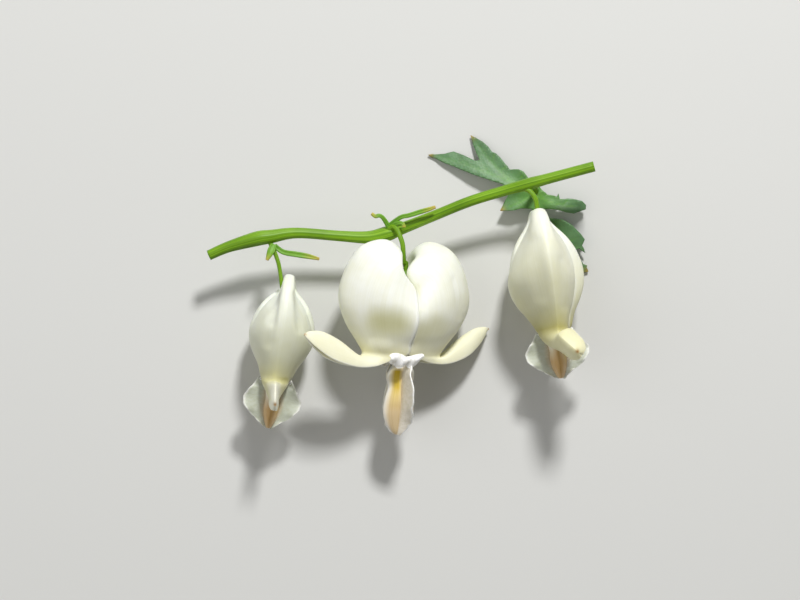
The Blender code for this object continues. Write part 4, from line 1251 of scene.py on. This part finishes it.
def leaf():
    """The lobed and toothed leaf behind the stem, with sunken ribs."""
    bpy.ops.object.select_all(action="DESELECT")
    bpy.ops.mesh.primitive_circle_add(vertices=len(LEAF_OUTLINE), radius=1, fill_type="NGON")
    blade = bpy.context.object
    for vertex, (x, y) in zip(blade.data.vertices, LEAF_OUTLINE):
        vertex.co = (x, y, 0)
    bpy.ops.object.mode_set(mode="EDIT")
    for normal, (first, last) in (((1, 0, 0), LEAF_SPAN_X), ((0, 1, 0), LEAF_SPAN_Y)):
        for number in range(1, int((last - first) / LEAF_CELL)):
            place = first + number * LEAF_CELL
            bpy.ops.mesh.select_all(action="SELECT")
            bpy.ops.mesh.bisect(plane_co=(place, place, 0), plane_no=normal, threshold=1e-4)
    bpy.ops.mesh.select_all(action="SELECT")
    bpy.ops.mesh.quads_convert_to_tris(quad_method="BEAUTY", ngon_method="BEAUTY")
    bpy.ops.mesh.normals_make_consistent(inside=False)
    bpy.ops.object.mode_set(mode="OBJECT")
    mesh = blade.data
    rib = mesh.attributes.new("rib", "FLOAT", "POINT")
    tip = mesh.attributes.new("tip", "FLOAT", "POINT")
    for number, vertex in enumerate(mesh.vertices):
        flat = vertex.co.to_2d()
        near = math.exp(-rib_distance(flat) ** 2)
        end = min((flat - Vector(spot)).length for spot in LEAF_TIPS)
        central = math.exp(-((flat - Vector(LEAF_CENTRE)).length / RIB_GREEN_REACH) ** 2)
        green = RIB_GREEN_OUTSIDE + (1 - RIB_GREEN_OUTSIDE) * central
        rib.data[number].value = max(near * green, CENTRE_GREEN * central ** 2)
        tip.data[number].value = math.exp(-(end / DRY_REACH) ** 2)
        pucker = LEAF_PUCKER * noise.noise(Vector((flat.x, flat.y, 0)) * LEAF_PUCKER_SCALE)
        height = leaf_height(flat.x, flat.y) + LEAF_TOP + pucker - RIB_GROOVE * near
        vertex.co = STEM_FRAME @ Vector((flat.x, flat.y, height))
    mesh.update()
    mesh.materials.append(LEAF_GREEN)
    finish_piece(blade, LEAF_THICKNESS)
    leaf_stalk = lay_tube("leaf_stalk", *LEAF_STALK_CELLS, LEAF_STALK, STEM_FRAME, STEM_GREEN, STALK_RIBS)
    finish_piece(leaf_stalk)
    dress(join("leaf", [blade, leaf_stalk]), "leaf", "leaf")


# The whole spray, its surface, light and camera

FLOOR_SIZE = 3.0
FLOOR_COLOUR = (0.62, 0.62, 0.60, 1.0)
SKY_COLOUR = (1.0, 1.0, 0.98, 1.0)
SKY_POWER = 0.28

# Lamps: place, size and power, in metres and watts
LAMPS = {
    "key": ((0.12, 0.44, 0.49), 0.09, 4.4),
    "fill": ((-0.45, 0.05, 0.55), 0.6, 1.0),
}

# How high the middle flower's axis lies, and how far the camera is from it, in metres
AXIS_HEIGHT = 0.0085
CAMERA_DISTANCE = 0.6667
LENS = 200
SENSOR_WIDTH = 36


def studio():
    """The pale surface, two soft lamps and an even sky."""
    bpy.ops.object.select_all(action="DESELECT")
    bpy.ops.mesh.primitive_plane_add(size=FLOOR_SIZE, location=(0, 0, 0))
    floor = bpy.context.object
    floor.name = "floor"
    floor.data.materials.append(new_finish("floor grey", 0.7, Base_Color=FLOOR_COLOUR)[0])
    for name, (place, size, power) in LAMPS.items():
        bpy.ops.object.light_add(type="AREA", location=place)
        lamp = bpy.context.object
        lamp.name = name
        lamp.data.size = size
        lamp.data.energy = power
        lamp.rotation_euler = (-Vector(place)).to_track_quat("-Z", "Y").to_euler()
    world = bpy.data.worlds.new("studio")
    world.use_nodes = True
    sky = world.node_tree.nodes["Background"]
    sky.inputs["Color"].default_value = SKY_COLOUR
    sky.inputs["Strength"].default_value = SKY_POWER
    bpy.context.scene.world = world
    bpy.context.scene.view_settings.view_transform = "Standard"


def camera():
    """Looks straight down on the laid spray; the photo's frame is 120 mm wide at the flowers' axes."""
    place = (SHIFT.x * MM, SHIFT.y * MM, AXIS_HEIGHT + CAMERA_DISTANCE)
    bpy.ops.object.camera_add(location=place, rotation=(0, 0, 0))
    view = bpy.context.object
    view.data.lens = LENS
    view.data.sensor_width = SENSOR_WIDTH
    bpy.context.scene.camera = view


# Each flower's finishes: outer petals, inner petals and their wings
FINISHES = {
    "left": (LEFT_PETAL, YOUNG_INNER, WING_SKIN),
    "middle": (OPEN_PETAL, OPEN_INNER, OPEN_WING),
    "right": (RIGHT_PETAL, YOUNG_INNER, WING_SKIN),
}

for flower_name, (outer_shade, inner_shade, wing_shade) in FINISHES.items():
    facts = FLOWERS[flower_name]
    outer_petal(flower_name + "_outer_petal_a", facts, 1, outer_shade)
    outer_petal(flower_name + "_outer_petal_b", facts, -1, outer_shade)
    inner_petals(flower_name + "_inner_petals", facts, inner_shade, wing_shade)
    stamens(flower_name + "_stamens", facts)
stem()
leaf()
studio()
camera()
